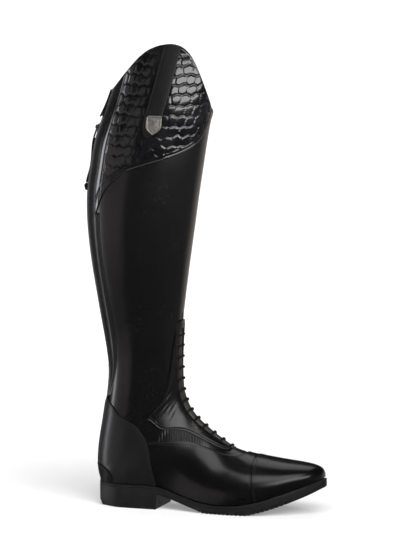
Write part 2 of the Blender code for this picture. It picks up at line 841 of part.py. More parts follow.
# Front edge of the heel tab. Columns: station, distance from the instep line
HEEL_TAB_EDGE = [
    (13.60, 137.6),
    (14.00, 137.8),
    (14.55, 139.6),
    (15.30, 146.5),
    (15.80, 155.5),
    (16.15, 166.0),
]
HEEL_TAB_STATIONS = [13.6, 13.95, 14.3, 14.6, 14.82] + steps(15.12, HEEL_TAB_EDGE[-1][0], 4)


def heel_tab_edge(station):
    """Distance of the heel tab's front edge from the instep line."""
    return smooth(station, HEEL_TAB_EDGE)


def heel_tab_mesh():
    """Small tab over the counter at the back of the heel."""
    high = HEEL_TAB_LOW + HEEL_TAB_THICK
    return heel_wrap_mesh(
        "heel_tab", HEEL_TAB_STATIONS, heel_tab_edge, HEEL_TAB_COLUMNS, HEEL_TAB_LOW, high
    )


FACING_MARGIN = 0.8
FACING_TOP = 21.75
FACING_TOP_HALF = 12.0
FACING_ARCH_GAP = 0.15
FACING_ARCH_HALF = 5.0
FACING_LEG_ROWS, FACING_ARCH_ROWS, FACING_COLUMNS = 20, 5, 5


def facing_mesh():
    """Eyestay: a horseshoe between the throat's edge and the swan-neck seam, closed over the throat's top."""
    across = steps(0.0, 1.0, FACING_COLUMNS)
    leg = []
    for place in steps(0.0, len(FACING) - 1.0, FACING_LEG_ROWS):
        edge_station, edge_reach, near_station = through(FACING, place)
        near_reach = throat_half(near_station) + FACING_MARGIN
        leg.append([(blend(near_station, edge_station, k), blend(near_reach, edge_reach, k)) for k in across])
    arch = []
    for share in steps(-1.0, 1.0, FACING_ARCH_ROWS):
        near = (THROAT_HIGH + FACING_ARCH_GAP, share * FACING_ARCH_HALF)
        far = (FACING_TOP, share * FACING_TOP_HALF)
        arch.append([(blend(near[0], far[0], k), blend(near[1], far[1], k)) for k in across])
    outer_leg = [[(s, -d) for s, d in row] for row in leg]
    path = outer_leg + arch + leg[::-1]
    places = [[(s, turn_of(s, d)) for s, d in row] for row in path]
    return overlay_mesh("facing", places, OVERLAY_GAP, OVERLAY_TOP)


CUFF_TOP_MARGIN = 0.05
CUFF_ROWS, CUFF_COLUMNS = 6, 19


def cuff_mesh():
    """Patent cuff over the outer side of the shaft's top, up to the collar."""
    places = []
    turns = steps(CUFF_EDGE[0][0], CUFF_EDGE[-1][0], CUFF_COLUMNS)
    for share in steps(0.0, 1.0, CUFF_ROWS):
        row = []
        for turn in turns:
            low = level_station(smooth(turn, CUFF_EDGE), turn)
            row.append((blend(low, collar_station(turn) - CUFF_TOP_MARGIN, share), turn))
        places.append(row)
    return overlay_mesh("cuff", places, OVERLAY_GAP, OVERLAY_TOP)


STRAP_LOW = OVERLAY_TOP + SEAT_GAP
STRAP_THICK = 1.2
STRAP_WIDTH = 20.0
STRAP_END_Z = 431.0
STRAP_POINT = 24.0
STRAP_TOP_MARGIN = 1.5
STRAP_TURN_TOP, STRAP_TURN_END = -0.425, -0.452
STRAP_ROWS, BADGE_ROWS, PLATE_COLUMNS = 12, 9, 3
BADGE_TOP_Z, BADGE_END_Z = 457.0, 435.0
BADGE_WIDTH = 16.5
BADGE_THICK = 1.5
SHIELD_SHOULDER = 0.35
SHIELD_TIP = 0.04


def shield_share(share):
    """Half-width share of a shield from its top (0) to its point (1)."""
    taper = max(share - SHIELD_SHOULDER, 0.0) / (1 - SHIELD_SHOULDER)
    return max(math.sqrt(max(1 - taper**2, 0.0)), SHIELD_TIP)


def strap_share(share):
    """Half-width share of the strap: even, with a shield's point at its end."""
    pointed = STRAP_POINT / (COLLAR_PEAK - STRAP_END_Z)
    return shield_share(blend(SHIELD_SHOULDER, 1.0, max(share - 1 + pointed, 0.0) / pointed))


def strap_turn(z):
    """Turn of the strap's centre line at height z."""
    share = (z - STRAP_END_Z) / (COLLAR_PEAK - STRAP_END_Z)
    return blend(STRAP_TURN_END, STRAP_TURN_TOP, share)


def plate_places(top_z, end_z, width, shape, rows, collar=False):
    """Grid of a plate along the strap's line, ending at the collar's edge if asked."""
    places = []
    for k in range(rows):
        share = k / (rows - 1)
        row = []
        for across in steps(-0.5, 0.5, PLATE_COLUMNS):
            z = blend(top_z, end_z, share)
            turn = strap_turn(z)
            turn += across * width * shape(share) / half_length(STATION_RING, -1.0)
            if collar:
                z = blend(smooth(turn, COLLAR) - STRAP_TOP_MARGIN, end_z, share)
            row.append((station_at_height(z), turn))
        places.append(row)
    return places


def strap_mesh():
    """Plain strap down from the collar's peak over the cuff."""
    places = plate_places(COLLAR_PEAK, STRAP_END_Z, STRAP_WIDTH, strap_share, STRAP_ROWS, True)
    return overlay_mesh("cuff_strap", places, STRAP_LOW, STRAP_LOW + STRAP_THICK)


def badge_mesh():
    """Bare shield on the strap's end."""
    places = plate_places(BADGE_TOP_Z, BADGE_END_Z, BADGE_WIDTH, shield_share, BADGE_ROWS)
    low = STRAP_LOW + STRAP_THICK + SEAT_GAP
    return overlay_mesh("badge", places, low, low + BADGE_THICK)


# Tongue, zip and zip flap

TONGUE_HALF = 17.0
TONGUE_LOW, TONGUE_HIGH = THROAT_LOW - 0.55, THROAT_HIGH + 1.4
TONGUE_ROWS, TONGUE_COLUMNS = 18, 5


def tongue_mesh():
    """Gusset behind the lacing, inside the upper."""
    places = []
    for station in steps(TONGUE_LOW, TONGUE_HIGH, TONGUE_ROWS):
        distances = steps(-TONGUE_HALF, TONGUE_HALF, TONGUE_COLUMNS)
        places.append([(station, turn_of(station, d)) for d in distances])
    high = -(UPPER_WALL + LINING_GAP)
    return overlay_mesh("tongue", places, high - TONGUE_THICK, high)


ZIP_TAPE_HALF = 11.0
ZIP_TAPE_MIDDLE = 7.0
ZIP_TAPE_THICK = 1.0
ZIP_CHAIN_HALF = 3.0
ZIP_CHAIN_SIDE = 0.3
ZIP_CHAIN_SINK = 0.3
ZIP_END_TRIM = 0.12
ZIP_ROWS = 12


def back_grid(stations, distances):
    """Grid over the back line at distances from it."""
    return [[(s, turn_from_back(s, d) if d else -1.0) for d in distances] for s in stations]


def zip_mesh():
    """Zip tapes behind the slot, with the closed chain standing up in it."""
    distances = [ZIP_TAPE_HALF, ZIP_TAPE_MIDDLE, ZIP_CHAIN_HALF + ZIP_CHAIN_SIDE, ZIP_CHAIN_HALF, 0.0]
    distances += [-d for d in distances[-2::-1]]
    stations = steps(STATION_ZIP + ZIP_END_TRIM, collar_station(1.0) - ZIP_END_TRIM, ZIP_ROWS)
    places = back_grid(stations, distances)
    tape = -(UPPER_WALL + LINING_GAP)

    def roof(i, j):
        return -ZIP_CHAIN_SINK if abs(distances[j]) <= ZIP_CHAIN_HALF else tape

    return overlay_mesh("zip", places, tape - ZIP_TAPE_THICK, roof)


FLAP_HALF = 14.0
FLAP_THICK = 1.2
FLAP_TOP_Z, FLAP_END_Z = 477.5, 445.5
FLAP_KICK = 2.0
FLAP_ROWS, FLAP_COLUMNS = 7, 7


def flap_mesh():
    """Leather tab sewn at the collar over the zip's top, its lower end standing off the leg."""
    distances = steps(FLAP_HALF, -FLAP_HALF, FLAP_COLUMNS)
    stations = steps(station_at_height(FLAP_END_Z), station_at_height(FLAP_TOP_Z), FLAP_ROWS)
    places = back_grid(stations, distances)

    def floor(i, j):
        return OVERLAY_GAP + FLAP_KICK * (1 - i / (FLAP_ROWS - 1)) ** 3

    return overlay_mesh("zip_flap", places, floor, lambda i, j: floor(i, j) + FLAP_THICK)


# Zip slider, pull tab and its cord

SLIDER_Z = 433.0
SLIDER_LENGTH, SLIDER_WIDTH, SLIDER_HEIGHT = 12.0, 8.6, 2.0
SLIDER_SEAT = 0.3
SLIDER_ROUND = 0.9
BAIL_HEIGHT = 2.5
BAIL_RADIUS = 0.6
EAR_WIDTH = 1.4
EAR_HALF = 2.0
EAR_ROOT = 1.0
EAR_OVER = 1.3
EAR_PLAY = 0.35
EAR_ROUND = 0.3
PIN_ANCHOR = 0.7
TAB_LENGTH, TAB_WIDTH, TAB_THICK = 14.0, 4.6, 1.1
TAB_NECK = 1.2
TAB_ROUND = 0.35
TAB_EYE_TRIM = 0.2
TAB_EYE_OUTER, TAB_EYE_INNER = 1.55, 0.95
CORD_DIAMETER = 2.0
CORD_SPREAD = 1.35
CORD_BOW = 1.5
CORD_SETTLE = 0.55
CORD_POINTS = 10
CORD_LIFT = 1.7
CORD_LENGTH = 52.0
KNOT_SIZE = (3.2, 3.8, 4.6)
KNOT_RISE = 2.4
KNOT_RISE_FROM = 0.6


def back_frame(z):
    """Frame on the back line at height z: X outwards, Y towards the outer side, Z up along the leg."""
    station = level_station(z, -1.0)
    at = skin(station, -1.0)
    up = skin(station + 0.1, -1.0) - skin(station - 0.1, -1.0)
    up /= np.linalg.norm(up)
    out = np.array([-up[2], 0.0, up[0]])
    side = np.cross(up, out)
    frame = Matrix.Identity(4)
    for k, axis in enumerate((out, side, up)):
        for row in range(3):
            frame[row][k] = axis[row]
    frame.translation = Vector(at * MM)
    return frame


def box_mesh(low, high, bevel):
    """A box between two corners with rounded edges."""
    mesh = bmesh.new()
    bmesh.ops.create_cube(mesh, size=1.0)
    for v in mesh.verts:
        v.co = Vector([blend(low[k], high[k], v.co[k] + 0.5) for k in range(3)]) * MM
    bmesh.ops.bevel(mesh, geom=mesh.edges[:], offset=bevel * MM, segments=1, affect="EDGES", profile=0.5)
    return mesh


ROD_SEGMENTS = 10


def rod_mesh(radius, half, at):
    """A rod along Y centred at (x, z)."""
    mesh = bmesh.new()
    size = radius * MM
    bmesh.ops.create_cone(
        mesh, cap_ends=True, segments=ROD_SEGMENTS, radius1=size, radius2=size, depth=2 * half * MM
    )
    place = Matrix.Translation(Vector((at[0], 0.0, at[1])) * MM) @ Matrix.Rotation(math.pi / 2, 4, "X")
    bmesh.ops.transform(mesh, matrix=place, verts=mesh.verts)
    return mesh


def combined(name, base, cuts, joins):
    """One mesh from a base with others joined on and others cut away."""
    scene = bpy.context.scene
    target = bpy.data.objects.new(name, named_mesh(name, base))
    scene.collection.objects.link(target)
    helpers = []
    for operation, meshes in (("UNION", joins), ("DIFFERENCE", cuts)):
        for mesh in meshes:
            helper = bpy.data.objects.new(name + "_helper", named_mesh(name + "_helper", mesh))
            scene.collection.objects.link(helper)
            modifier = target.modifiers.new(operation, "BOOLEAN")
            modifier.operation = operation
            modifier.object = helper
            helpers.append(helper)
    bpy.context.view_layer.update()
    graph = bpy.context.evaluated_depsgraph_get()
    made = bpy.data.meshes.new_from_object(target.evaluated_get(graph))
    for obj in [target] + helpers:
        bpy.data.objects.remove(obj)
    return made


def pin_place():
    """Distance of the pull's pin from the leg's back line."""
    return SLIDER_SEAT + SLIDER_HEIGHT + BAIL_HEIGHT - BAIL_RADIUS


def slider_mesh():
    """Slider body with two ears that carry the pull's pin."""
    top = SLIDER_SEAT + SLIDER_HEIGHT
    pin = pin_place()
    wide, tall = SLIDER_WIDTH / 2, SLIDER_LENGTH / 2
    body = box_mesh((SLIDER_SEAT, -wide, -tall), (top, wide, tall), SLIDER_ROUND)
    inside = TAB_WIDTH / 2 + EAR_PLAY
    ears = []
    for side in (-1.0, 1.0):
        a, b = sorted((side * inside, side * (inside + EAR_WIDTH)))
        ears.append(box_mesh((top - EAR_ROOT, a, -EAR_HALF), (pin + EAR_OVER, b, EAR_HALF), EAR_ROUND))
    ears.append(rod_mesh(BAIL_RADIUS, inside + PIN_ANCHOR, (pin, 0.0)))
    return combined("zip_slider", body, [], ears)


def tab_mesh():
    """Pull tab: an eye round the pin and a flat tongue hanging from it. Its origin is the pin's axis."""
    half_thick, half_width = TAB_THICK / 2, TAB_WIDTH / 2
    tail = box_mesh((-half_thick, -half_width, -TAB_LENGTH), (half_thick, half_width, -TAB_NECK), TAB_ROUND)
    eye = rod_mesh(TAB_EYE_OUTER, half_width - TAB_EYE_TRIM, (0.0, 0.0))
    bore = rod_mesh(TAB_EYE_INNER, TAB_WIDTH, (0.0, 0.0))
    return combined("zip_pull", tail, [bore], [eye])


def cord_curve(name, points, diameter, material, root):
    """A round cord through points in metres, with closed ends."""
    curve = bpy.data.curves.new(name, "CURVE")
    curve.dimensions = "3D"
    curve.bevel_depth = diameter * MM / 2
    curve.bevel_resolution = 2
    curve.use_fill_caps = True
    spline = curve.splines.new("POLY")
    spline.points.add(len(points) - 1)
    for place, point in zip(spline.points, points):
        place.co = (*point, 1.0)
    obj = bpy.data.objects.new(name, curve)
    bpy.context.scene.collection.objects.link(obj)
    curve.materials.append(material)
    obj.parent = root
    return obj


def strand_points(side):
    """One strand of the pull cord: from below the tab down the back of the leg, lying on the zip."""
    frame = back_frame(SLIDER_Z)
    start = frame @ (Vector((pin_place(), side * CORD_SPREAD, -TAB_LENGTH - SEAT_GAP)) * MM)
    points = []
    for share in steps(0.0, 1.0, CORD_POINTS):
        z = start[2] / MM - CORD_LENGTH * share
        place = back_frame(z)
        stand_off = blend(pin_place(), CORD_LIFT, eased(share / CORD_SETTLE))
        stand_off += KNOT_RISE * eased((share - KNOT_RISE_FROM) / (1 - KNOT_RISE_FROM))
        spread = CORD_SPREAD + CORD_BOW * math.sin(math.pi * share) ** 2
        points.append(place @ (Vector((stand_off, side * spread, 0.0)) * MM))
    points[0] = start
    return points


def knot_mesh(at):
    """The cord's end knot, a rounded lump."""
    mesh = bmesh.new()
    bmesh.ops.create_uvsphere(mesh, u_segments=10, v_segments=6, radius=1.0)
    for v in mesh.verts:
        v.co = Vector([v.co[k] * KNOT_SIZE[k] * MM for k in range(3)]) + at
    return named_mesh("zip_cord_knot", mesh)


# Laces

LACE_DIAMETER = 2.1
LACE_BARS = 13
LACE_REACH = 12.5
LACE_FROM, LACE_TO = 20.2, 8.15
BAR_POINTS = 5
RIDGE_POINTS = 120
LACE_LIFT = OVERLAY_TOP + 1.5 * SEAT_GAP + LACE_DIAMETER / 2


def ridge_stations(first, last, count):
    """Stations at even distances along the instep line."""
    dense = steps(first, last, RIDGE_POINTS)
    line = np.array([skin(s, 0.0) for s in dense])
    run = np.concatenate([[0], np.cumsum(np.linalg.norm(np.diff(line, axis=0), axis=1))])
    return [float(np.interp(d, run, dense)) for d in steps(0.0, run[-1], count)]


def lace_points():
    """Bars across the throat, joined along alternate edges into one cord."""
    points = []
    for k, station in enumerate(ridge_stations(LACE_FROM, LACE_TO, LACE_BARS)):
        direction = 1.0 if k % 2 else -1.0
        for share in steps(-1.0, 1.0, BAR_POINTS):
            distance = direction * share * LACE_REACH
            points.append(lifted(station, turn_of(station, distance), LACE_LIFT) * MM)
    return points


# Assembly

BLACK = (0.012, 0.012, 0.013)
TAN = (0.36, 0.17, 0.075)


def clear_scene():
    """Removes everything that stands in the scene."""
    for obj in list(bpy.data.objects):
        bpy.data.objects.remove(obj)


def centre_on_floor(root):
    """Moves the whole boot so that its box stands centred on the origin."""
    bpy.context.view_layer.update()
    graph = bpy.context.evaluated_depsgraph_get()
    corners = []
    for obj in root.children_recursive:
        if obj.type in ("MESH", "CURVE") and not obj.get("free_cord"):
            seen = obj.evaluated_get(graph)
            points = seen.to_mesh().vertices
            corners += [seen.matrix_world @ v.co for v in points]
            seen.to_mesh_clear()
    low = [min(c[k] for c in corners) for k in range(3)]
    high = [max(c[k] for c in corners) for k in range(3)]
    root.location = (-(low[0] + high[0]) / 2, -(low[1] + high[1]) / 2, -low[2])


def build():
    """Makes every piece of the boot under one root."""
    clear_scene()
    root = bpy.data.objects.new("field_boot", None)
    bpy.context.scene.collection.objects.link(root)

    calf = plain_material("black_leather", BLACK, 0.38)
    patent = plain_material("patent_leather", (0.008, 0.008, 0.009), 0.08)
    matte = plain_material("matte_leather", (0.02, 0.02, 0.022), 0.55)
    rubber = plain_material("sole_rubber", (0.02, 0.02, 0.021), 0.6)
    lining = plain_material("tan_lining", TAN, 0.7)
    pewter = plain_material("pewter", (0.45, 0.43, 0.39), 0.35, 1.0)
    textile = plain_material("black_textile", (0.01, 0.01, 0.01), 0.8)

    add_object("upper", upper_mesh(), calf, root)
    add_object("outsole", sole_mesh(), rubber, root, 30.0)
    add_object("insole", insole_mesh(), lining, root)
    add_object("tongue", tongue_mesh(), calf, root)
    add_object("toe_cap", toe_cap_mesh(), calf, root)
    add_object("vamp", vamp_mesh(), calf, root)
    add_object("counter", counter_mesh(), calf, root)
    add_object("heel_tab", heel_tab_mesh(), matte, root)
    add_object("facing", facing_mesh(), calf, root)
    add_object("cuff", cuff_mesh(), patent, root)
    add_object("cuff_strap", strap_mesh(), matte, root)
    add_object("badge", badge_mesh(), pewter, root)
    add_object("zip", zip_mesh(), textile, root)
    add_object("zip_flap", flap_mesh(), matte, root)

    frame = back_frame(SLIDER_Z)
    slider = add_object("zip_slider", slider_mesh(), pewter, root)
    slider.matrix_local = frame
    hinge = bpy.data.objects.new("zip_pull_axis", None)
    bpy.context.scene.collection.objects.link(hinge)
    hinge.parent = root
    hinge.matrix_local = frame @ Matrix.Translation(Vector((pin_place(), 0.0, 0.0)) * MM)
    add_object("zip_pull", tab_mesh(), pewter, hinge)

    ends = []
    for name, side in (("zip_cord_outer", 1.0), ("zip_cord_inner", -1.0)):
        points = strand_points(side)
        ends.append(points[-1])
        cord_curve(name, points, CORD_DIAMETER, textile, root)["free_cord"] = True
    below = (ends[0] + ends[1]) / 2 - Vector((0.0, 0.0, KNOT_SIZE[2] + SEAT_GAP)) * MM
    add_object("zip_cord_knot", knot_mesh(below), textile, root)["free_cord"] = True

    cord_curve("laces", lace_points(), LACE_DIAMETER, textile, root)
    centre_on_floor(root)


build()
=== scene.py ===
"""Field riding boot for the right foot, seen from its outer side.

Black calf with a laced instep and a rear zip, a scale-printed patent cuff and a moulded rubber sole.
Tables are in millimetres: x from the heel's back to the toe, y to the inner side, z up from the floor.
"""

import json
import math

import bpy
import numpy as np
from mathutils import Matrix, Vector


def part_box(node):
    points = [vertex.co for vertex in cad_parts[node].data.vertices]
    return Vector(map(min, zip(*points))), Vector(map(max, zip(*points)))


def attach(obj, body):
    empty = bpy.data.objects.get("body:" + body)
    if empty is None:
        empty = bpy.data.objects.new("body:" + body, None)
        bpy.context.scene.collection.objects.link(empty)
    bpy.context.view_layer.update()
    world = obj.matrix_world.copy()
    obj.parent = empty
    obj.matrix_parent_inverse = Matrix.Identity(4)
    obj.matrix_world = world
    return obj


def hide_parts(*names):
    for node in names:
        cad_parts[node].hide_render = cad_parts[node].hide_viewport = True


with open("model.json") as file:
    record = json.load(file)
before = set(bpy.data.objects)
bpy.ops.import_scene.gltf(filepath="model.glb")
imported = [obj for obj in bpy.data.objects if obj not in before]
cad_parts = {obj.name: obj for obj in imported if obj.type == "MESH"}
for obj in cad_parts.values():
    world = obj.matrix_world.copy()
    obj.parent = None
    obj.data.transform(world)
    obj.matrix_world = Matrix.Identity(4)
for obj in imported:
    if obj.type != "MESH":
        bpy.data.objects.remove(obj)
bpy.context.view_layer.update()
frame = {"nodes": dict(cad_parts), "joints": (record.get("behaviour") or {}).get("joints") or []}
bpy.ops.object.select_all(action="DESELECT")

# Studio: a white paper floor in a white room, with soft boxes above, beside the camera and behind the boot.
# The camera stands far off with a very long lens, a little towards the toe and looking slightly down.
MM = 0.001
BOOT_ORIGIN = Vector((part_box("outsole")[0].x, frame["joints"][0]["pos_m"][1], 0.0))
VIEW_TURN, VIEW_RISE = math.radians(18.0), math.radians(8.5)
VIEW_DISTANCE, VIEW_HEIGHT, SENSOR = 10.0, 0.614, 36.0
LOOK_AT = BOOT_ORIGIN + Vector((0.137, -0.026, 0.278))
right = Vector((math.cos(VIEW_TURN), math.sin(VIEW_TURN), 0.0))
towards = Vector((math.sin(VIEW_TURN), -math.cos(VIEW_TURN), 0.0))
up = Vector((0.0, 0.0, 1.0))
view_back = towards * math.cos(VIEW_RISE) + up * math.sin(VIEW_RISE)
bpy.ops.object.camera_add(
    location=LOOK_AT + view_back * VIEW_DISTANCE, rotation=view_back.to_track_quat("Z", "Y").to_euler()
)
camera = bpy.context.object
camera.data.sensor_width = SENSOR
camera.data.lens = SENSOR * VIEW_DISTANCE / VIEW_HEIGHT
bpy.context.scene.camera = camera
bpy.context.scene.view_settings.view_transform = "Standard"

# Columns: name, place it faces (across the picture, height), degrees round from the camera to the right,
# degrees up, distance, width, height (m), brightness
SOFT_BOXES = [
    ("top_box", 0.0, 0.278, -2.0, 54.0, 1.7, 1.5, 1.0, 2.0),
    ("key_box", 0.0, 0.278, 22.0, 24.0, 1.7, 1.7, 0.75, 3.2),
    ("cuff_card", -0.03, 0.490, 40.0, -19.5, 0.2335, 0.31, 0.065, 7.5),
    ("back_box", 0.0, 0.278, 180.0, 52.0, 1.7, 1.4, 1.0, 1.0),
]
for name, across, height, degrees_round, degrees_up, distance, wide, tall, brightness in SOFT_BOXES:
    turn, rise = math.radians(degrees_round), math.radians(degrees_up)
    away = (towards * math.cos(turn) + right * math.sin(turn)) * math.cos(rise) + up * math.sin(rise)
    faced = LOOK_AT + right * across + up * (height - LOOK_AT.z)
    bpy.ops.object.light_add(
        type="AREA", location=faced + away * distance, rotation=away.to_track_quat("Z", "Y").to_euler()
    )
    light = bpy.context.object
    light.name = name
    light.data.shape = "RECTANGLE"
    light.data.size, light.data.size_y = wide, tall
    light.data.energy = brightness * math.pi * wide * tall


class Tone:
    """A value in a node tree. Operators on it add Math nodes, and node() adds any other."""

    def __init__(self, tree, socket):
        self.tree = tree
        self.socket = socket

    def node(self, kind, settings=None, sockets=None, output=0):
        """A new node with its settings, then the values or links of its sockets. Gives one output."""
        made = self.tree.nodes.new(kind)
        for key, value in (settings or {}).items():
            if key == "stops":
                elements = made.color_ramp.elements
                for k, (position, colour) in enumerate(value):
                    element = elements[k] if k < 2 else elements.new(position)
                    element.position = position
                    element.color = (*colour, 1.0)
            else:
                setattr(made, key, value)
        for key, value in (sockets or {}).items():
            if isinstance(value, Tone):
                self.tree.links.new(value.socket, made.inputs[key])
            else:
                made.inputs[key].default_value = value
        return Tone(self.tree, made.outputs[output])

    def maths(self, operation, first, second):
        """A Math node on two values."""
        return self.node("ShaderNodeMath", {"operation": operation}, {0: first, 1: second})

    def __add__(self, other):
        return self.maths("ADD", self, other)

    def __radd__(self, other):
        return self.maths("ADD", other, self)

    def __rsub__(self, other):
        return self.maths("SUBTRACT", other, self)

    def __mul__(self, other):
        return self.maths("MULTIPLY", self, other)

    def between(self, low, high):
        """Share of the way from low to high, kept to 0 and 1."""
        sockets = {"Value": self, "From Min": low, "From Max": high}
        return self.node("ShaderNodeMapRange", {"clamp": True}, sockets)

    def mixed(self, first, second):
        """Colour between two colours, by this value."""
        sockets = {"Factor": self, 6: (*first, 1.0), 7: (*second, 1.0)}
        return self.node("ShaderNodeMix", {"data_type": "RGBA"}, sockets, output=2)

    def noise(self, scale, detail=2.0, roughness=0.5):
        """Noise over a place, with scale in cells to the metre."""
        sockets = {"Vector": self, "Scale": scale, "Detail": detail, "Roughness": roughness}
        return self.node("ShaderNodeTexNoise", None, sockets)

    def bumped(self, depth, strength):
        """Relief of this height, with its depth in metres."""
        sockets = {"Strength": strength, "Distance": depth, "Height": self}
        return self.node("ShaderNodeBump", None, sockets)


# The room's walls: a white panel behind, a bright strip and a wide grey panel on the left, black in front
# and dim grey on the right. Columns: degrees round from the camera to the right, colour
ROOM_WALLS = [
    (-180.0, (1.20, 1.20, 1.22)),
    (-170.0, (0.90, 0.90, 0.92)),
    (-158.0, (0.16, 0.16, 0.17)),
    (-128.0, (0.05, 0.05, 0.05)),
    (-113.0, (0.12, 0.12, 0.12)),
    (-110.0, (5.00, 5.10, 5.40)),
    (-104.0, (4.20, 4.25, 4.40)),
    (-99.0, (0.50, 0.465, 0.455)),
    (-47.0, (0.46, 0.42, 0.415)),
    (-40.0, (0.02, 0.02, 0.02)),
    (36.0, (0.02, 0.02, 0.02)),
    (58.0, (0.12, 0.12, 0.13)),
    (112.0, (0.12, 0.12, 0.13)),
    (128.0, (0.42, 0.38, 0.33)),
    (150.0, (0.55, 0.50, 0.45)),
    (165.0, (0.60, 0.57, 0.54)),
    (180.0, (1.20, 1.20, 1.22)),
]
# The walls fade low down and above eye level, as shares of straight up, to the least share of their light
WALL_UNDER, WALL_OVER, WALL_LEAST = (-0.46, -0.22), (0.055, 0.095), 0.02
# The grey panel on the left ends lower. Degrees round where it starts and stops, and how much lower
LOW_PANEL_START, LOW_PANEL_STOP, LOW_PANEL_DROP = (-84.0, -76.0), (-40.0, -36.0), 0.135


def round_share(degrees):
    """Share of the way round the room, from behind the boot past the camera and back."""
    return (degrees + 180) / 360


world = bpy.data.worlds.new("white_room")
bpy.context.scene.world = world
world.use_nodes = True
room = Tone(world.node_tree, world.node_tree.nodes.new("ShaderNodeTexCoord").outputs["Generated"])
ahead, aside = (
    room.node("ShaderNodeVectorMath", {"operation": "DOT_PRODUCT"}, {0: room, 1: tuple(axis)}, output="Value")
    for axis in (towards, right)
)
round_room = room.maths("ARCTAN2", aside, ahead) * (0.5 / math.pi) + 0.5
stops = [(round_share(degrees), colour) for degrees, colour in ROOM_WALLS]
walls = room.node("ShaderNodeValToRGB", {"stops": stops}, {"Fac": round_room})
height_up = room.node("ShaderNodeSeparateXYZ", None, {0: room}, output="Z")
seen_by_camera = room.node("ShaderNodeLightPath", None, None, output="Is Camera Ray")
started, stopped = (
    round_room.between(*map(round_share, edge)) for edge in (LOW_PANEL_START, LOW_PANEL_STOP)
)
lowered = height_up + started * (1 - stopped) * LOW_PANEL_DROP
fade = height_up.between(*WALL_UNDER) * (1 - lowered.between(*WALL_OVER))
strength = fade * (1 - WALL_LEAST) + WALL_LEAST
panels = room.node("ShaderNodeBackground", None, {"Strength": strength, "Color": walls})
white = room.node("ShaderNodeBackground", None, {"Strength": 1.0, "Color": (1, 1, 1, 1)})
mixed_room = room.node("ShaderNodeMixShader", None, {0: seen_by_camera, 1: panels, 2: white})
world.node_tree.links.new(mixed_room.socket, world.node_tree.nodes["World Output"].inputs["Surface"])


def new_finish(name):
    """A new material, and the place on the piece as its first value."""
    material = bpy.data.materials.new(name)
    material.use_nodes = True
    place = material.node_tree.nodes.new("ShaderNodeTexCoord").outputs["Object"]
    return material, Tone(material.node_tree, place)


def paint(material, sockets):
    """Sets or links the sockets of the material's own shader."""
    shader = material.node_tree.nodes["Principled BSDF"]
    for key, value in sockets.items():
        if isinstance(value, Tone):
            material.node_tree.links.new(value.socket, shader.inputs[key])
        else:
            shader.inputs[key].default_value = value


# The paper glows a little, more with the distance from the boot. Columns: metres from the boot, glow
FLOOR_SIZE, FLOOR_REACH = 12.0, 4.0
FLOOR_GLOW = [(0.0, 0.055), (0.25, 0.075), (0.5, 0.13), (0.9, 0.18), (1.3, 0.21), (2.2, 0.24), (4.0, 0.27)]
bpy.ops.mesh.primitive_plane_add(size=FLOOR_SIZE, location=(0.0, 0.0, 0.0))
floor = bpy.context.object
floor.name = "floor"
floor_paper, place = new_finish("floor_paper")
paper_shade = place.noise(3.0).mixed((0.84, 0.84, 0.84), (0.87, 0.87, 0.87))
distance = place.node("ShaderNodeVectorMath", {"operation": "LENGTH"}, {0: place}, output="Value")
stops = [(metres / FLOOR_REACH, (glow, glow, glow)) for metres, glow in FLOOR_GLOW]
glow = place.node("ShaderNodeValToRGB", {"stops": stops}, {"Fac": distance * (1 / FLOOR_REACH)})
paint(floor_paper, {"Base Color": paper_shade, "Roughness": 0.9, "Specular IOR Level": 0.1})
paint(floor_paper, {"Emission Color": glow, "Emission Strength": 1.0})
floor.data.materials.append(floor_paper)
floor.visible_glossy = False
floor.visible_shadow = False

# Upper: the shaft and foot in smooth black calf, cut in quarters and pulled over a last.
# One wall from the feather edge to the collar, open along the laced throat and the rear zip.
# Columns of the sole's outline: x, outer edge's y, inner edge's y
OUTLINE = [
    (0.0, 0.0, 0.0),
    (2.8, -12.5, 12.5),
    (11.0, -24.0, 23.5),
    (30.0, -31.5, 30.0),
    (62.0, -32.5, 27.5),
    (96.0, -33.5, 23.5),
    (130.0, -40.0, 29.5),
    (160.0, -43.5, 38.5),
    (186.0, -42.5, 43.0),
    (211.0, -36.5, 42.0),
    (234.0, -26.0, 36.5),
    (253.0, -12.5, 28.0),
    (264.0, -1.0, 18.5),
    (267.5, 8.5, 8.5),
]
# Columns of the sole's upper edge: x, z
SOLE_TOP = [
    (-5.0, 27.0),
    (64.0, 27.0),
    (80.0, 25.2),
    (108.0, 17.4),
    (131.0, 11.8),
    (153.0, 9.8),
    (173.0, 10.8),
    (197.0, 15.0),
    (225.0, 24.0),
    (250.0, 33.2),
    (268.0, 40.5),
]
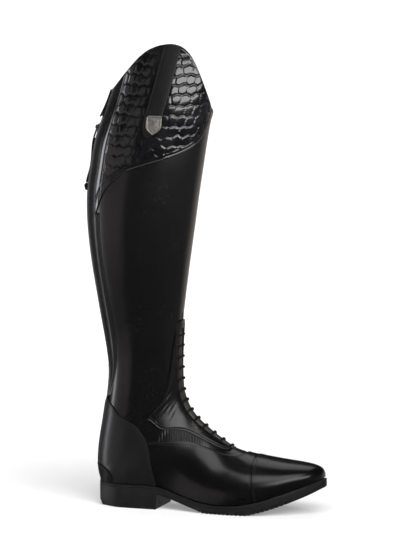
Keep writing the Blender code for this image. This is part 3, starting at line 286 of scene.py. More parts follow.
# Sections of the last from the toe over the heel to the top of the shaft.
# Columns: base or back x and z, ridge or front x and z, half width, its height share, crown, middle y, bulge.
# A foot section's base height is read from the sole, so its column is 0.
SECTIONS = [
    (247.0, 0.0, 263.6, 39.2, 10.0, 0.00, 2.15, 8.5, 1.00),
    (244.5, 0.0, 263.4, 45.0, 10.0, 0.10, 2.15, 8.5, 1.01),
    (239.0, 0.0, 260.4, 50.2, 10.0, 0.18, 2.15, 8.3, 1.02),
    (231.0, 0.0, 252.4, 53.8, 10.0, 0.22, 2.10, 8.0, 1.03),
    (219.0, 0.0, 238.0, 56.4, 10.0, 0.24, 2.05, 7.6, 1.04),
    (202.0, 0.0, 217.0, 58.8, 10.0, 0.26, 2.00, 7.0, 1.04),
    (183.0, 0.0, 196.0, 61.8, 10.0, 0.27, 1.95, 6.4, 1.04),
    (161.0, 0.0, 176.0, 65.4, 22.0, 0.28, 1.90, 5.6, 1.03),
    (139.0, 0.0, 157.8, 71.2, 25.0, 0.29, 1.84, 4.6, 1.03),
    (117.0, 0.0, 141.0, 82.4, 27.0, 0.30, 1.80, 3.4, 1.04),
    (95.0, 0.0, 126.2, 93.8, 29.0, 0.31, 1.80, 2.2, 1.05),
    (73.0, 0.0, 114.3, 104.8, 31.0, 0.32, 1.82, 1.2, 1.05),
    (51.0, 0.0, 106.4, 115.2, 32.5, 0.34, 1.86, 0.5, 1.06),
    (31.0, 0.0, 102.0, 124.8, 33.5, 0.36, 1.90, 0.2, 1.06),
    (14.5, 0.0, 99.2, 134.0, 34.0, 0.38, 1.94, 0.0, 1.06),
    (3.4, 27.45, 97.8, 143.0, 34.2, 0.41, 1.97, 0.0, 1.0),
    (-0.2, 44.0, 97.2, 152.0, 34.4, 0.44, 2.00, 0.0, 1.0),
    (-0.1, 60.0, 96.8, 162.0, 34.5, 0.46, 2.00, 0.0, 1.0),
    (2.0, 78.0, 96.6, 173.0, 34.6, 0.48, 2.00, 0.0, 1.0),
    (5.0, 96.0, 96.6, 184.5, 34.8, 0.49, 2.00, 0.0, 1.0),
    (8.0, 115.0, 96.9, 197.0, 35.2, 0.49, 2.00, 0.0, 1.0),
    (10.6, 134.0, 97.5, 210.0, 36.0, 0.49, 2.02, 0.0, 1.0),
    (11.9, 154.0, 98.3, 224.0, 37.0, 0.48, 2.04, 0.0, 1.0),
    (9.9, 175.0, 99.8, 238.5, 38.6, 0.48, 2.06, 0.0, 1.0),
    (6.2, 198.0, 101.7, 254.0, 40.8, 0.48, 2.08, 0.0, 1.0),
    (1.9, 222.0, 103.8, 271.0, 43.4, 0.47, 2.10, 0.0, 1.0),
    (-2.6, 248.0, 106.2, 289.0, 46.2, 0.47, 2.10, 0.0, 1.0),
    (-7.2, 275.0, 108.8, 308.0, 48.6, 0.47, 2.10, 0.0, 1.0),
    (-11.0, 303.0, 111.8, 329.0, 50.4, 0.47, 2.10, 0.0, 1.0),
    (-13.4, 332.0, 114.8, 351.0, 51.4, 0.48, 2.10, 0.0, 1.0),
    (-13.2, 362.0, 118.2, 374.0, 52.0, 0.49, 2.10, 0.0, 1.0),
    (-9.0, 392.0, 121.8, 397.0, 52.6, 0.50, 2.08, 0.0, 1.0),
    (-3.8, 420.0, 125.4, 420.0, 53.4, 0.50, 2.06, 0.0, 1.0),
    (6.0, 449.0, 130.6, 449.0, 54.4, 0.50, 2.04, 0.0, 1.0),
    (16.6, 478.0, 136.6, 478.0, 55.2, 0.50, 2.02, 0.0, 1.0),
    (25.0, 507.0, 142.8, 507.0, 55.6, 0.50, 2.02, 0.0, 1.0),
    (32.8, 536.0, 148.6, 536.0, 55.6, 0.50, 2.02, 0.0, 1.0),
    (40.0, 565.0, 154.0, 565.0, 55.6, 0.50, 2.02, 0.0, 1.0),
]
# Columns of the collar: turn round the leg (-1 and 1 at the back, 0 in front, negative outside), z
COLLAR = [
    (-1.00, 479.0),
    (-0.91, 480.5),
    (-0.84, 485.5),
    (-0.77, 496.0),
    (-0.70, 510.0),
    (-0.64, 522.5),
    (-0.575, 532.0),
    (-0.50, 537.5),
    (-0.44, 539.0),
    (-0.38, 536.8),
    (-0.32, 530.0),
    (-0.25, 515.5),
    (-0.16, 492.5),
    (-0.08, 474.5),
    (0.00, 460.5),
    (0.07, 456.0),
    (0.14, 456.5),
    (0.35, 463.0),
    (0.60, 472.0),
    (0.85, 478.5),
    (1.00, 479.0),
]
# Worn-in folds of the leather, soft troughs with the ridges between them.
# Columns: station, turn, half length, half width, depth, degrees that the fold rises round the leg
FOLDS = [
    (15.6, -0.30, 16.0, 3.2, 0.60, 18.0),
    (16.3, -0.36, 20.0, 3.6, 0.65, 10.0),
    (14.6, -0.47, 13.0, 3.0, 0.45, 24.0),
    (17.2, -0.33, 22.0, 4.0, 0.50, 4.0),
    (16.9, -0.52, 16.0, 4.0, 0.40, -8.0),
    (18.2, -0.42, 24.0, 5.0, 0.40, 0.0),
    (13.2, -0.20, 7.0, 1.3, 0.35, 14.0),
    (13.7, -0.24, 8.0, 1.4, 0.35, 9.0),
    (12.6, -0.22, 6.0, 1.2, 0.30, 19.0),
    (14.3, -0.22, 8.0, 1.5, 0.30, 4.0),
    (15.9, 0.32, 18.0, 3.4, 0.55, -14.0),
    (16.8, 0.40, 20.0, 4.0, 0.55, -7.0),
    (14.9, 0.45, 15.0, 3.2, 0.40, -21.0),
    (17.9, 0.34, 22.0, 4.5, 0.45, 0.0),
    (13.4, 0.20, 7.0, 1.3, 0.30, -12.0),
    (12.8, 0.22, 6.0, 1.2, 0.30, -18.0),
    (23.5, -0.45, 40.0, 9.0, 0.40, 4.0),
    (25.2, -0.30, 36.0, 10.0, 0.35, -5.0),
    (22.2, 0.40, 40.0, 8.0, 0.50, 3.0),
    (23.6, 0.50, 44.0, 9.0, 0.45, -4.0),
    (25.5, 0.35, 40.0, 11.0, 0.35, 2.0),
    (7.2, -0.33, 15.0, 3.6, 0.40, 60.0),
    (7.3, 0.33, 15.0, 3.6, 0.35, -60.0),
]
HEEL_STATION, RING_STATION, ZIP_STATION = 15.0, 32.0, 22.4
RING_BASE_Z, RING_STEP = 420.0, 29.0
THROAT_LOW, THROAT_HIGH, THROAT_HALF, THROAT_END_SHARE, THROAT_MAX_TURN = 7.75, 20.6, 9.0, 0.45, 0.22
WELT_WIDTH, UPPER_SEAT, CALF_THICK, ZIP_SLOT_HALF = 3.0, 0.45, 1.2, 5.0
WIDTH_POWER = 10
ARC_POINTS = 60
CHUNK = 5000
SMALL_STATION, SMALL_TURN = 0.04, 0.012


def blend(a, b, share):
    """Value a share of the way from a to b."""
    return a + (b - a) * share


def eased(share):
    """Share that leaves 0 and reaches 1 gently."""
    share = np.clip(share, 0.0, 1.0)
    return share**2 * (3 - 2 * share)


def along_table(value, table):
    """Values between the rows of a two-column table, on a curve that never overshoots them."""
    x, y = np.array(table, float).T
    step = np.diff(x)
    slope = np.diff(y) / step
    tangent = np.concatenate([slope[:1], np.zeros(len(x) - 2), slope[-1:]])
    for i in range(1, len(x) - 1):
        if slope[i - 1] * slope[i] > 0:
            before, after = 2 * step[i] + step[i - 1], step[i] + 2 * step[i - 1]
            tangent[i] = (before + after) / (before / slope[i - 1] + after / slope[i])
    value = np.clip(value, x[0], x[-1])
    i = np.clip(np.searchsorted(x, value, side="right") - 1, 0, len(step) - 1)
    u = (value - x[i]) / step[i]
    ends = (1 + 2 * u) * (1 - u) ** 2 * y[i] + u * u * (3 - 2 * u) * y[i + 1]
    return ends + step[i] * (u * (1 - u) ** 2 * tangent[i] - u * u * (1 - u) * tangent[i + 1])


def through(rows, place, before=None, after=None):
    """Rows between the rows of a table, on a smooth curve through them all."""
    rows = np.asarray(rows, float)
    before = 2 * rows[0] - rows[1] if before is None else before
    after = 2 * rows[-1] - rows[-2] if after is None else after
    padded = np.vstack([before, rows, after])
    place = np.clip(np.asarray(place, float), 0.0, len(rows) - 1.0)
    i = np.minimum(place.astype(int), len(rows) - 2)
    u = (place - i)[..., None]
    a, b, c, d = padded[i], padded[i + 1], padded[i + 2], padded[i + 3]
    return 0.5 * (2 * b + (c - a) * u + (2 * a - 5 * b + 4 * c - d) * u**2 + (3 * b - a - 3 * c + d) * u**3)


def outline_branches(places, inset):
    """Outer and inner edges of the sole as (x, y) lines, moved inwards by inset."""
    turned = [(x, inner, outer) for x, outer, inner in (OUTLINE[1], OUTLINE[-2])]
    rows = through(OUTLINE, places, *turned)
    slopes = through(OUTLINE, places + 1e-3, *turned) - through(OUTLINE, places - 1e-3, *turned)
    branches = []
    for column, side in ((1, -1.0), (2, 1.0)):
        line, along = rows[:, [0, column]], slopes[:, [0, column]]
        along = along / (np.linalg.norm(along, axis=1)[:, None] + 1e-12)
        branches.append(line + np.stack([along[:, 1], -along[:, 0]], axis=1) * side * inset)
    return branches


OUTLINE_END = len(OUTLINE) - 1
feather = outline_branches(np.linspace(0, OUTLINE_END, 400), WELT_WIDTH)
FEATHER_LINE = [line[np.argsort(line[:, 0])] for line in feather]


def half_sections(station, side):
    """Halves of the last's sections from the ridge down: section, curve along and across, running length."""
    section = through(SECTIONS, station)
    in_foot = station < HEEL_STATION
    section[:, 1] = np.where(in_foot, along_table(section[:, 0], SOLE_TOP) + UPPER_SEAT, section[:, 1])
    back_x, back_z, front_x, front_z, half, widest, crown, middle, bulge = section.T
    length = np.hypot(front_x - back_x, front_z - back_z)
    outer, inner = (np.interp(back_x, line[:, 0], line[:, 1]) for line in FEATHER_LINE)
    base = np.where(in_foot, np.maximum(np.where(side < 0, middle - outer, inner - middle), 0.0), 0.0)
    width = (half**WIDTH_POWER + (base * bulge) ** WIDTH_POWER) ** (1 / WIDTH_POWER)
    arc = np.linspace(0.0, 1.0, ARC_POINTS)
    quarter = arc * math.pi / 2
    power = (2 / crown)[:, None]
    high_along = widest[:, None] + (1 - widest)[:, None] * np.abs(np.cos(quarter)) ** power
    high_across = width[:, None] * np.sin(quarter) ** power
    last = math.pi - np.arcsin(np.minimum(base / width, 0.9999))
    low = math.pi / 2 + (last - math.pi / 2)[:, None] * arc[1:]
    low_along = widest[:, None] * (1 - np.abs(np.cos(low)) / np.abs(np.cos(last))[:, None])
    along = np.concatenate([high_along, low_along], axis=1)
    across = np.concatenate([high_across, width[:, None] * np.sin(low)], axis=1)
    pieces = np.hypot(np.diff(along, axis=1) * length[:, None], np.diff(across, axis=1))
    run = np.concatenate([np.zeros((len(station), 1)), np.cumsum(pieces, axis=1)], axis=1)
    return section, along, across, run


def girth(station, side):
    """Length along the skin from the ridge to the base or the back line."""
    station, side = np.broadcast_arrays(np.asarray(station, float), np.asarray(side, float))
    return half_sections(station.ravel(), side.ravel())[3][:, -1].reshape(station.shape)


def skin(station, turn):
    """Points of the last's surface. turn is 0 on the ridge, -1 at the outer base or back, 1 at the inner."""
    station, turn = np.broadcast_arrays(np.asarray(station, float), np.asarray(turn, float))
    shape = station.shape
    station, turn = station.ravel(), turn.ravel()
    found = np.zeros((len(station), 3))
    for start in range(0, len(station), CHUNK):
        part = slice(start, start + CHUNK)
        side = np.where(turn[part] < 0, -1.0, 1.0)
        section, along, across, run = half_sections(station[part], side)
        reach = np.clip(np.abs(turn[part]), 0.0, 1.0) * run[:, -1]
        k = (run[:, 1:-1] <= reach[:, None]).sum(axis=1)
        i = np.arange(len(k))
        u = (reach - run[i, k]) / (run[i, k + 1] - run[i, k] + 1e-12)
        share = blend(along[i, k], along[i, k + 1], u)
        found[part, 0] = blend(section[:, 0], section[:, 2], share)
        found[part, 1] = section[:, 7] + side * blend(across[i, k], across[i, k + 1], u)
        found[part, 2] = blend(section[:, 1], section[:, 3], share)
    return found.reshape(*shape, 3)


def skin_normal(station, turn):
    """Outward directions of the last's surface."""
    station, turn = np.broadcast_arrays(np.asarray(station, float), np.asarray(turn, float))
    rise = skin(station + SMALL_STATION, turn) - skin(np.maximum(station - SMALL_STATION, 0.0), turn)
    ahead, behind = np.minimum(turn + SMALL_TURN, 1.0), np.maximum(turn - SMALL_TURN, -1.0)
    round_leg = skin(station, ahead) - skin(station, behind)
    normal = np.cross(round_leg, rise)
    at_back = (station >= HEEL_STATION) & (np.abs(turn) > 1 - SMALL_TURN)
    normal[..., 1] *= np.where(at_back, (1 - np.abs(turn)) / SMALL_TURN, 1.0)
    return normal / np.linalg.norm(normal, axis=-1, keepdims=True)


FOLD_PLACES = []
for fold in FOLDS:
    station, turn = fold[:2]
    pitch = np.linalg.norm(skin(station + 0.5, turn) - skin(station - 0.5, turn))
    FOLD_PLACES.append((fold, float(pitch), float(girth(station, 1.0))))


def worn(station, turn):
    """Height that the folds add to the leather."""
    height = np.zeros(np.shape(station))
    for (at, at_turn, half_long, half_wide, depth, rise), pitch, around in FOLD_PLACES:
        climb, swing = (station - at) * pitch, (turn - at_turn) * around
        tilt = math.radians(rise)
        along = swing * math.cos(tilt) + climb * math.sin(tilt)
        across = climb * math.cos(tilt) - swing * math.sin(tilt)
        height -= depth * np.exp(-((along / half_long) ** 2) - (across / half_wide) ** 2)
    return height


def raised(station, turn, *heights):
    """Grids of points at heights above the worn leather, then the directions outwards."""
    station, turn = np.broadcast_arrays(np.asarray(station, float), np.asarray(turn, float))
    at, normal = skin(station, turn), skin_normal(station, turn)
    at = at + normal * worn(station, turn)[..., None]
    return [at + normal * np.broadcast_to(height, station.shape)[..., None] for height in heights] + [normal]


def solid(name, points, faces):
    """A smooth-shaded piece from points in millimetres and faces, turned the right way out."""
    points = np.asarray(points, float)
    a, b, c = (points[faces[:, k]] for k in range(3))
    volume = np.einsum("ij,ij->i", a, np.cross(b, c)).sum()
    if faces.shape[1] == 4:
        volume += np.einsum("ij,ij->i", a, np.cross(c, points[faces[:, 3]])).sum()
    faces = faces if volume > 0 else faces[:, ::-1]
    mesh = bpy.data.meshes.new(name)
    mesh.from_pydata((points * MM + np.array(BOOT_ORIGIN)).tolist(), [], faces.tolist())
    mesh.shade_smooth()
    piece = bpy.data.objects.new(name, mesh)
    bpy.context.scene.collection.objects.link(piece)
    return piece


def wall(name, outer, inner, kept=None, joined=None):
    """A closed sheet between two grids. kept cells have material, and joined rows close round behind."""
    rows, columns = outer.shape[:2]
    kept = np.ones((rows - 1, columns - 1), bool) if kept is None else kept
    count = rows * columns
    index = np.arange(count).reshape(rows, columns)
    if joined is not None:
        index[joined, -1] = index[joined, 0]
    corners = (index[:-1, :-1], index[:-1, 1:], index[1:, 1:], index[1:, :-1])
    top = np.stack([corner[kept] for corner in corners], axis=1)
    edges = np.concatenate([top[:, [k, (k + 1) % 4]] for k in range(4)])
    lone = ~np.isin(edges[:, 0] * count + edges[:, 1], edges[:, 1] * count + edges[:, 0])
    a, b = edges[lone].T
    rim = np.stack([b, a, a + count, b + count], axis=1)
    faces = np.concatenate([top, top[:, ::-1] + count, rim])
    used, faces = np.unique(faces, return_inverse=True)
    points = np.concatenate([outer.reshape(-1, 3), inner.reshape(-1, 3)])[used]
    return solid(name, points, faces.reshape(-1, 4))


def fitted(piece, material, slot, *nodes, body="boot"):
    """Gives a piece its material and the body it moves with, and hides the solids it stands for. The slot is
    not used.
    """
    piece.data.materials.append(material)
    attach(piece, body)
    if nodes:
        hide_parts(*nodes)
    return piece


def leather(name, dark_colour, light_colour, gloss, grain_size, grain_depth, coat, shine=0.5):
    """Dressed leather: pebbled grain, uneven polish and a few faint rubbed places."""
    material, place = new_finish(name)
    cells = 1 / (grain_size * MM)
    drift = place.noise(cells * 0.6, 1.0)
    pebbles = place.node("ShaderNodeTexVoronoi", {"feature": "SMOOTH_F1"}, {"Vector": place, "Scale": cells})
    pores = place.noise(cells * 2.6, 2.0)
    height = pebbles * 0.7 + pores * 0.3 + drift * 0.5
    bump = height.bumped(grain_depth * MM, 0.5)
    polish = place.noise(26.0, 2.0, 0.5)
    rubbed = place.noise(170.0, 4.0, 0.6).between(0.50, 0.80)
    colour = (polish * 0.5 + rubbed * 0.4).mixed(dark_colour, light_colour)
    roughness = gloss[0] + polish * (gloss[1] - gloss[0]) + rubbed * 0.04
    paint(material, {"Base Color": colour, "Roughness": roughness, "Normal": bump})
    paint(material, {"Coat Weight": coat, "Coat Roughness": 0.16, "Specular IOR Level": shine})
    return material


calf = leather(
    "black_calf",
    (0.0048, 0.0046, 0.0048),
    (0.0080, 0.0075, 0.0075),
    gloss=(0.18, 0.30),
    grain_size=0.9,
    grain_depth=0.022,
    coat=0.10,
)


def throat_half(station):
    """Half width of the lacing opening, narrowing to its rounded ends."""
    share = np.clip((station - THROAT_LOW) / (THROAT_HIGH - THROAT_LOW), 0.0, 1.0)
    return THROAT_HALF * blend(THROAT_END_SHARE, 1.0, np.sin(math.pi * share) ** 0.5)


def collar_station(turn):
    """Station of the collar's edge at this turn."""
    return RING_STATION + (along_table(turn, COLLAR) - RING_BASE_Z) / RING_STEP


def upper_grid(foot_rows, throat_rows, ankle_rows, shaft_rows, collar_rows, side_columns, trim):
    """Stations and turns of the upper less a trim, its cells with material and the rows closed behind."""
    stations = np.concatenate(
        [
            np.linspace(0.0, THROAT_LOW, foot_rows)[:-1],
            np.linspace(THROAT_LOW, THROAT_HIGH, throat_rows)[:-1],
            np.linspace(THROAT_HIGH, ZIP_STATION, ankle_rows)[:-1],
            np.linspace(ZIP_STATION, RING_STATION, shaft_rows),
        ]
    )
    shares = 1 - (1 - np.linspace(0.0, 1.0, side_columns)) ** 1.2
    halves = []
    for side in (-1.0, 1.0):
        full = girth(stations, side)
        first = np.minimum((throat_half(stations) + trim) / full, THROAT_MAX_TURN)
        last = 1.0 - np.where(stations > ZIP_STATION - 0.01, (ZIP_SLOT_HALF + trim) / full, 0.0)
        halves.append(side * blend(first[:, None], last[:, None], shares))
    turns = np.concatenate([halves[0][:, ::-1], np.zeros((len(stations), 1)), halves[1]], axis=1)
    stations = np.repeat(stations[:, None], turns.shape[1], axis=1)
    top = np.repeat(turns[-1:], collar_rows, axis=0)
    rise = np.linspace(0.0, 1.0, collar_rows + 1)[1:, None]
    stations = np.concatenate([stations, blend(RING_STATION, collar_station(top) - trim / RING_STEP, rise)])
    turns = np.concatenate([turns, top])
    middle = turns.shape[1] // 2
    in_throat = (stations[:-1, middle] > THROAT_LOW - 0.01) & (stations[1:, middle] < THROAT_HIGH + 0.01)
    kept = np.ones((len(turns) - 1, turns.shape[1] - 1), bool)
    kept[in_throat, middle - 1 : middle + 1] = False
    joined = (stations[:, 0] > HEEL_STATION - 0.01) & (stations[:, 0] < ZIP_STATION - 0.02)
    return stations, turns, kept, joined


stations, turns, kept, joined = upper_grid(
    foot_rows=44, throat_rows=90, ankle_rows=14, shaft_rows=56, collar_rows=26, side_columns=52, trim=0.0
)
outside, inside, normals = raised(stations, turns, 0.0, -CALF_THICK)
upper = wall("upper_calf", outside, inside, kept, joined)
fitted(upper, calf, "black_leather", "upper")

# Lining: soft tan leather inside the shaft and foot, glued to the calf and trimmed back from its edges.
# Its seam runs down the outer side of the leg, overlocked with a pale zigzag.
LINING_TOP, LINING_UNDER, LINING_TRIM = -1.25, -2.0, 2.0
stations, turns, kept, joined = upper_grid(
    foot_rows=26,
    throat_rows=50,
    ankle_rows=8,
    shaft_rows=36,
    collar_rows=18,
    side_columns=30,
    trim=LINING_TRIM,
)
outside, inside, normals = raised(stations, turns, LINING_TOP, LINING_UNDER)
lining = wall("lining", outside, inside, kept, joined)
tan = leather(
    "tan_lining",
    (0.42, 0.155, 0.072),
    (0.60, 0.240, 0.115),
    gloss=(0.55, 0.72),
    grain_size=1.4,
    grain_depth=0.05,
    coat=0.0,
)
fitted(lining, tan, "tan_lining")


def copies(name, points, faces, centres, frames):
    """One joined piece from copies of a small shape, each set at a centre in its own frame."""
    placed = centres[:, None, :] + np.einsum("vk,nkc->nvc", points, frames)
    count = len(points)
    all_faces = (faces[None] + count * np.arange(len(centres))[:, None, None]).reshape(-1, faces.shape[1])
    return solid(name, placed.reshape(-1, 3), all_faces)


def thread_bead(length, width, height):
    """One stitch: a flat-bottomed grain of thread along the first axis."""
    angles = np.linspace(0.0, 2 * math.pi, 6, endpoint=False)
    ring = np.stack([np.zeros(6), np.cos(angles) * width / 2, np.sin(angles) * height], axis=1)
    points = [ring * (1, 0.45, 0.45) - (length / 2, 0, 0), ring - (length / 5, 0, 0)]
    points += [ring + (length / 5, 0, 0), ring * (1, 0.45, 0.45) + (length / 2, 0, 0)]
    faces = []
    for k in range(3):
        for i in range(6):
            j = (i + 1) % 6
            faces.append((6 * k + i, 6 * k + j, 6 * k + 6 + j, 6 * k + 6 + i))
    faces += [(0, 5, 4, 3), (0, 3, 2, 1), (18, 19, 20, 21), (18, 21, 22, 23)]
    return np.concatenate(points), np.array(faces)


def running_length(points):
    """Lengths along a line of points, from its start."""
    return np.concatenate([[0.0], np.cumsum(np.linalg.norm(np.diff(points, axis=0), axis=1))])


def at_lengths(line, run, places):
    """What a line of points or directions says at lengths along it."""
    return np.stack([np.interp(places, run, line[:, k]) for k in range(3)], axis=1)


def sewn(name, lines, pitch, bead, material, slot, zigzag=0.0):
    """Stitches along lines of points and outward directions, joined in one piece."""
    centres, frames = [], []
    for points, outwards in lines:
        run = running_length(points)
        places = np.arange(pitch / 2, run[-1], pitch)
        at, out = at_lengths(points, run, places), at_lengths(outwards, run, places)
        ahead, behind = (at_lengths(points, run, places + shift) for shift in (0.4, -0.4))
        along = ahead - behind
        along /= np.linalg.norm(along, axis=1)[:, None] + 1e-9
        across = np.cross(out, along)
        across /= np.linalg.norm(across, axis=1)[:, None] + 1e-9
        if zigzag:
            lean = np.where(np.arange(len(places)) % 2, 1.0, -1.0)[:, None] * zigzag
            along, across = along + across * lean, across - along * lean
            along /= np.linalg.norm(along, axis=1)[:, None]
            across /= np.linalg.norm(across, axis=1)[:, None]
        centres.append(at)
        frames.append(np.stack([along, across, np.cross(along, across)], axis=1))
    piece = copies(name, *bead, np.concatenate(centres), np.concatenate(frames))
    return fitted(piece, material, slot)


def thread(name, colour):
    """Waxed sewing thread with a twist."""
    material, place = new_finish(name)
    fibre = place.noise(2600.0, 2.0)
    shade = fibre.mixed(tuple(0.6 * c for c in colour), colour)
    paint(material, {"Base Color": shade, "Roughness": 0.5, "Normal": fibre.bumped(0.00005, 0.5)})
    return material


black_thread = thread("black_thread", (0.020, 0.019, 0.020))
pale_thread = thread("pale_thread", (0.86, 0.78, 0.70))
SEAM_TURN, SEAM_LOW, SEAM_HIGH, SEAM_DEPTH = -0.36, 16.5, 35.7, 0.15
ZIGZAG_PITCH, ZIGZAG_LEAN = 2.6, 0.9
seam, out = raised(np.linspace(SEAM_LOW, SEAM_HIGH, 140), SEAM_TURN, LINING_UNDER - SEAM_DEPTH)
zigzag = thread_bead(length=4.4, width=1.0, height=0.45)
sewn("lining_zigzag", [(seam, -out)], ZIGZAG_PITCH, zigzag, pale_thread, "tan_lining", ZIGZAG_LEAN)

# Insole: a tan leather sock over a thin footbed, slightly dished for the foot.
# It is cut to the sole's outline and lies loose on the sole inside the wall.
SOCK_INSET, SOCK_THICK, SOCK_GAP, SOCK_TRIM, SOCK_DISH = 6.2, 3.0, 0.3, 0.1, 1.2


def rounded(piece, width):
    """Rounds a sheet's cut edges."""
    bpy.context.view_layer.objects.active = piece
    bevel = piece.modifiers.new("cut_edge", "BEVEL")
    bevel.width = width * MM
    bevel.segments = 2
    bevel.limit_method = "ANGLE"
    bevel.angle_limit = math.radians(62.0)
    bpy.ops.object.modifier_apply(modifier="cut_edge")
    return piece


edges = outline_branches(np.linspace(SOCK_TRIM, OUTLINE_END - SOCK_TRIM, 90), SOCK_INSET)
across = np.linspace(0.0, 1.0, 25)[None, :, None]
sock = blend(edges[0][:, None, :], edges[1][:, None, :], across)
dish = SOCK_DISH * np.abs(2 * across[..., 0] - 1) ** 3
top = along_table(sock[..., 0], SOLE_TOP) + SOCK_GAP + SOCK_THICK
sock_top = np.concatenate([sock, (top - SOCK_DISH + dish)[..., None]], axis=2)
sock_under = np.concatenate([sock, (top - SOCK_THICK)[..., None]], axis=2)
insole = rounded(wall("insole_sock", sock_top, sock_under), 0.5)
fitted(insole, tan, "tan_lining", "insole")

# Tongue: thin softened calf, sewn in behind the throat along both sides.
# The foot presses it forward between the facings, into long soft pleats.
TONGUE_HALF, TONGUE_THICK, TONGUE_TOP = 17.0, 1.5, -3.15
TONGUE_LOW, TONGUE_HIGH = 7.2, 22.0
PRESS_LOW, PRESS_HIGH, PRESS_RUN, PRESS_WIDTH, PRESS_HEIGHT, PRESS_UNDER = 7.9, 20.5, 0.7, 0.75, 3.6, 2.5
TONGUE_PLEAT, TONGUE_PLEAT_PITCH = 0.45, 7.5


def panel(name, stations, turns, under, top, edge, material, slot, *nodes):
    """A cut panel between two heights above the leather, its edges rounded. Gives its face for stitches."""
    outside, inside, normals = raised(stations, turns, top, under)
    fitted(rounded(wall(name, outside, inside), edge), material, slot, *nodes)
    return outside, normals


stations = np.repeat(np.linspace(TONGUE_LOW, TONGUE_HIGH, 150)[:, None], 45, axis=1)
reach = np.repeat(np.linspace(-TONGUE_HALF, TONGUE_HALF, 45)[None], 150, axis=0)
turns = reach / girth(stations, np.sign(reach) + 0.5)
opening = eased((stations - PRESS_LOW) / PRESS_RUN) * eased((PRESS_HIGH - stations) / PRESS_RUN)
opening = throat_half(stations) * opening + 0.01
press = np.exp(-((reach / (PRESS_WIDTH * opening)) ** 4))
pleats = TONGUE_PLEAT * np.cos(2 * math.pi * reach / TONGUE_PLEAT_PITCH + 0.5 * np.sin(stations * 1.7))
top = TONGUE_TOP + press * (PRESS_HEIGHT + pleats)
under = np.minimum(top, TONGUE_TOP + PRESS_UNDER) - TONGUE_THICK
# Its brown-grey colour, far lighter than the calf, is partly the tongue's own tone and partly painted rim
# light.
soft_calf_painted_rim_light = leather(
    "soft_calf_painted_rim_light",
    (0.034, 0.030, 0.026),
    (0.062, 0.055, 0.047),
    gloss=(0.36, 0.48),
    grain_size=1.1,
    grain_depth=0.04,
    coat=0.0,
)
panel("tongue_leather", stations, turns, under, top, 0.4, soft_calf_painted_rim_light, "matte_leather", "tongue")

# Vamp: calf over the forefoot, lasted under the sole.
# Its top edge lies over the quarters and is sewn down with two rows of black thread.
OVERLAY_UNDER, OVERLAY_TOP = 0.05, 1.25
VAMP_SKIVE, SOLE_CLEARANCE = 0.1, 0.5
CAP_RIDGE_X, CAP_SWEEP = 187.0, 7.5
# Columns of the top seam: station, turn
VAMP_EDGE = [
    (7.05, 0.00),
    (7.15, 0.11),
    (7.45, 0.205),
    (8.00, 0.25),
    (8.70, 0.275),
    (9.40, 0.30),
    (9.95, 0.33),
    (10.45, 0.36),
    (11.10, 0.42),
    (12.15, 0.49),
    (13.05, 0.53),
]
VAMP_BACK_LOW, VAMP_BOW, VAMP_CAP_GAP = 10.7, 0.42, 1.2


def found_between(low, high, is_low):
    """Values between low and high where a test turns, by halving."""
    for _ in range(18):
        middle = (low + high) / 2
        test = is_low(middle)
        low, high = np.where(test, middle, low), np.where(test, high, middle)
    return (low + high) / 2


FOOT_ROWS = 91
FOOT_STATIONS = np.linspace(0.0, HEEL_STATION, FOOT_ROWS)


def stands_clear(turn, side):
    """Whether a lifted point is still above the sole."""
    at = raised(FOOT_STATIONS, side * turn, OVERLAY_TOP)[0]
    return at[:, 2] - along_table(at[:, 0], SOLE_TOP) > SOLE_CLEARANCE


half_round, full_round = np.full(FOOT_ROWS, 0.5), np.full(FOOT_ROWS, 1.0)
sole_turns = {
    side: found_between(half_round, full_round, lambda turn, side=side: stands_clear(turn, side))
    for side in (-1.0, 1.0)
}


def sole_turn(station, side):
    """Turn at which a lifted point stands just above the sole."""
    outer, inner = (np.interp(station, FOOT_STATIONS, sole_turns[s]) for s in (-1.0, 1.0))
    return np.where(np.asarray(side) < 0, -outer, inner)


def cap_station(turn, behind=0.0):
    """Station of the toe cap's line at a turn, or of a line some way behind it."""
    line = CAP_RIDGE_X + CAP_SWEEP * np.abs(turn) - behind
    start = np.zeros(np.shape(turn))
    return found_between(start, start + HEEL_STATION, lambda station: skin(station, turn)[..., 0] > line)


def inset_line(sheet, edge, distance, first=0.0, last=1.0):
    """Line on a sheet (points, directions) at a distance in from its first or last row or column."""
    points, outwards = sheet
    if edge in ("first_column", "last_column"):
        points, outwards = points.transpose(1, 0, 2), outwards.transpose(1, 0, 2)
    if edge in ("last_row", "last_column"):
        points, outwards = points[::-1], outwards[::-1]
    start, stop = int(first * points.shape[1]), int(last * points.shape[1])
    points, outwards = points[:, start:stop], outwards[:, start:stop]
    lengths = np.linalg.norm(np.diff(points, axis=0), axis=2)
    run = np.concatenate([np.zeros((1, points.shape[1])), np.cumsum(lengths, axis=0)])
    k = np.minimum((run[1:] <= distance).sum(axis=0), len(points) - 2)
    i = np.arange(points.shape[1])
    u = ((distance - run[k, i]) / (run[k + 1, i] - run[k, i] + 1e-9))[:, None]
    return blend(points[k, i], points[k + 1, i], u), blend(outwards[k, i], outwards[k + 1, i], u)


BEAD = thread_bead(length=2.0, width=0.62, height=0.26)
STITCH_PITCH = 2.5


def stitched(name, slot, *rows):
    """Rows of black stitches, each given as for inset_line."""
    sewn(name, [inset_line(*row) for row in rows], STITCH_PITCH, BEAD, black_thread, slot)


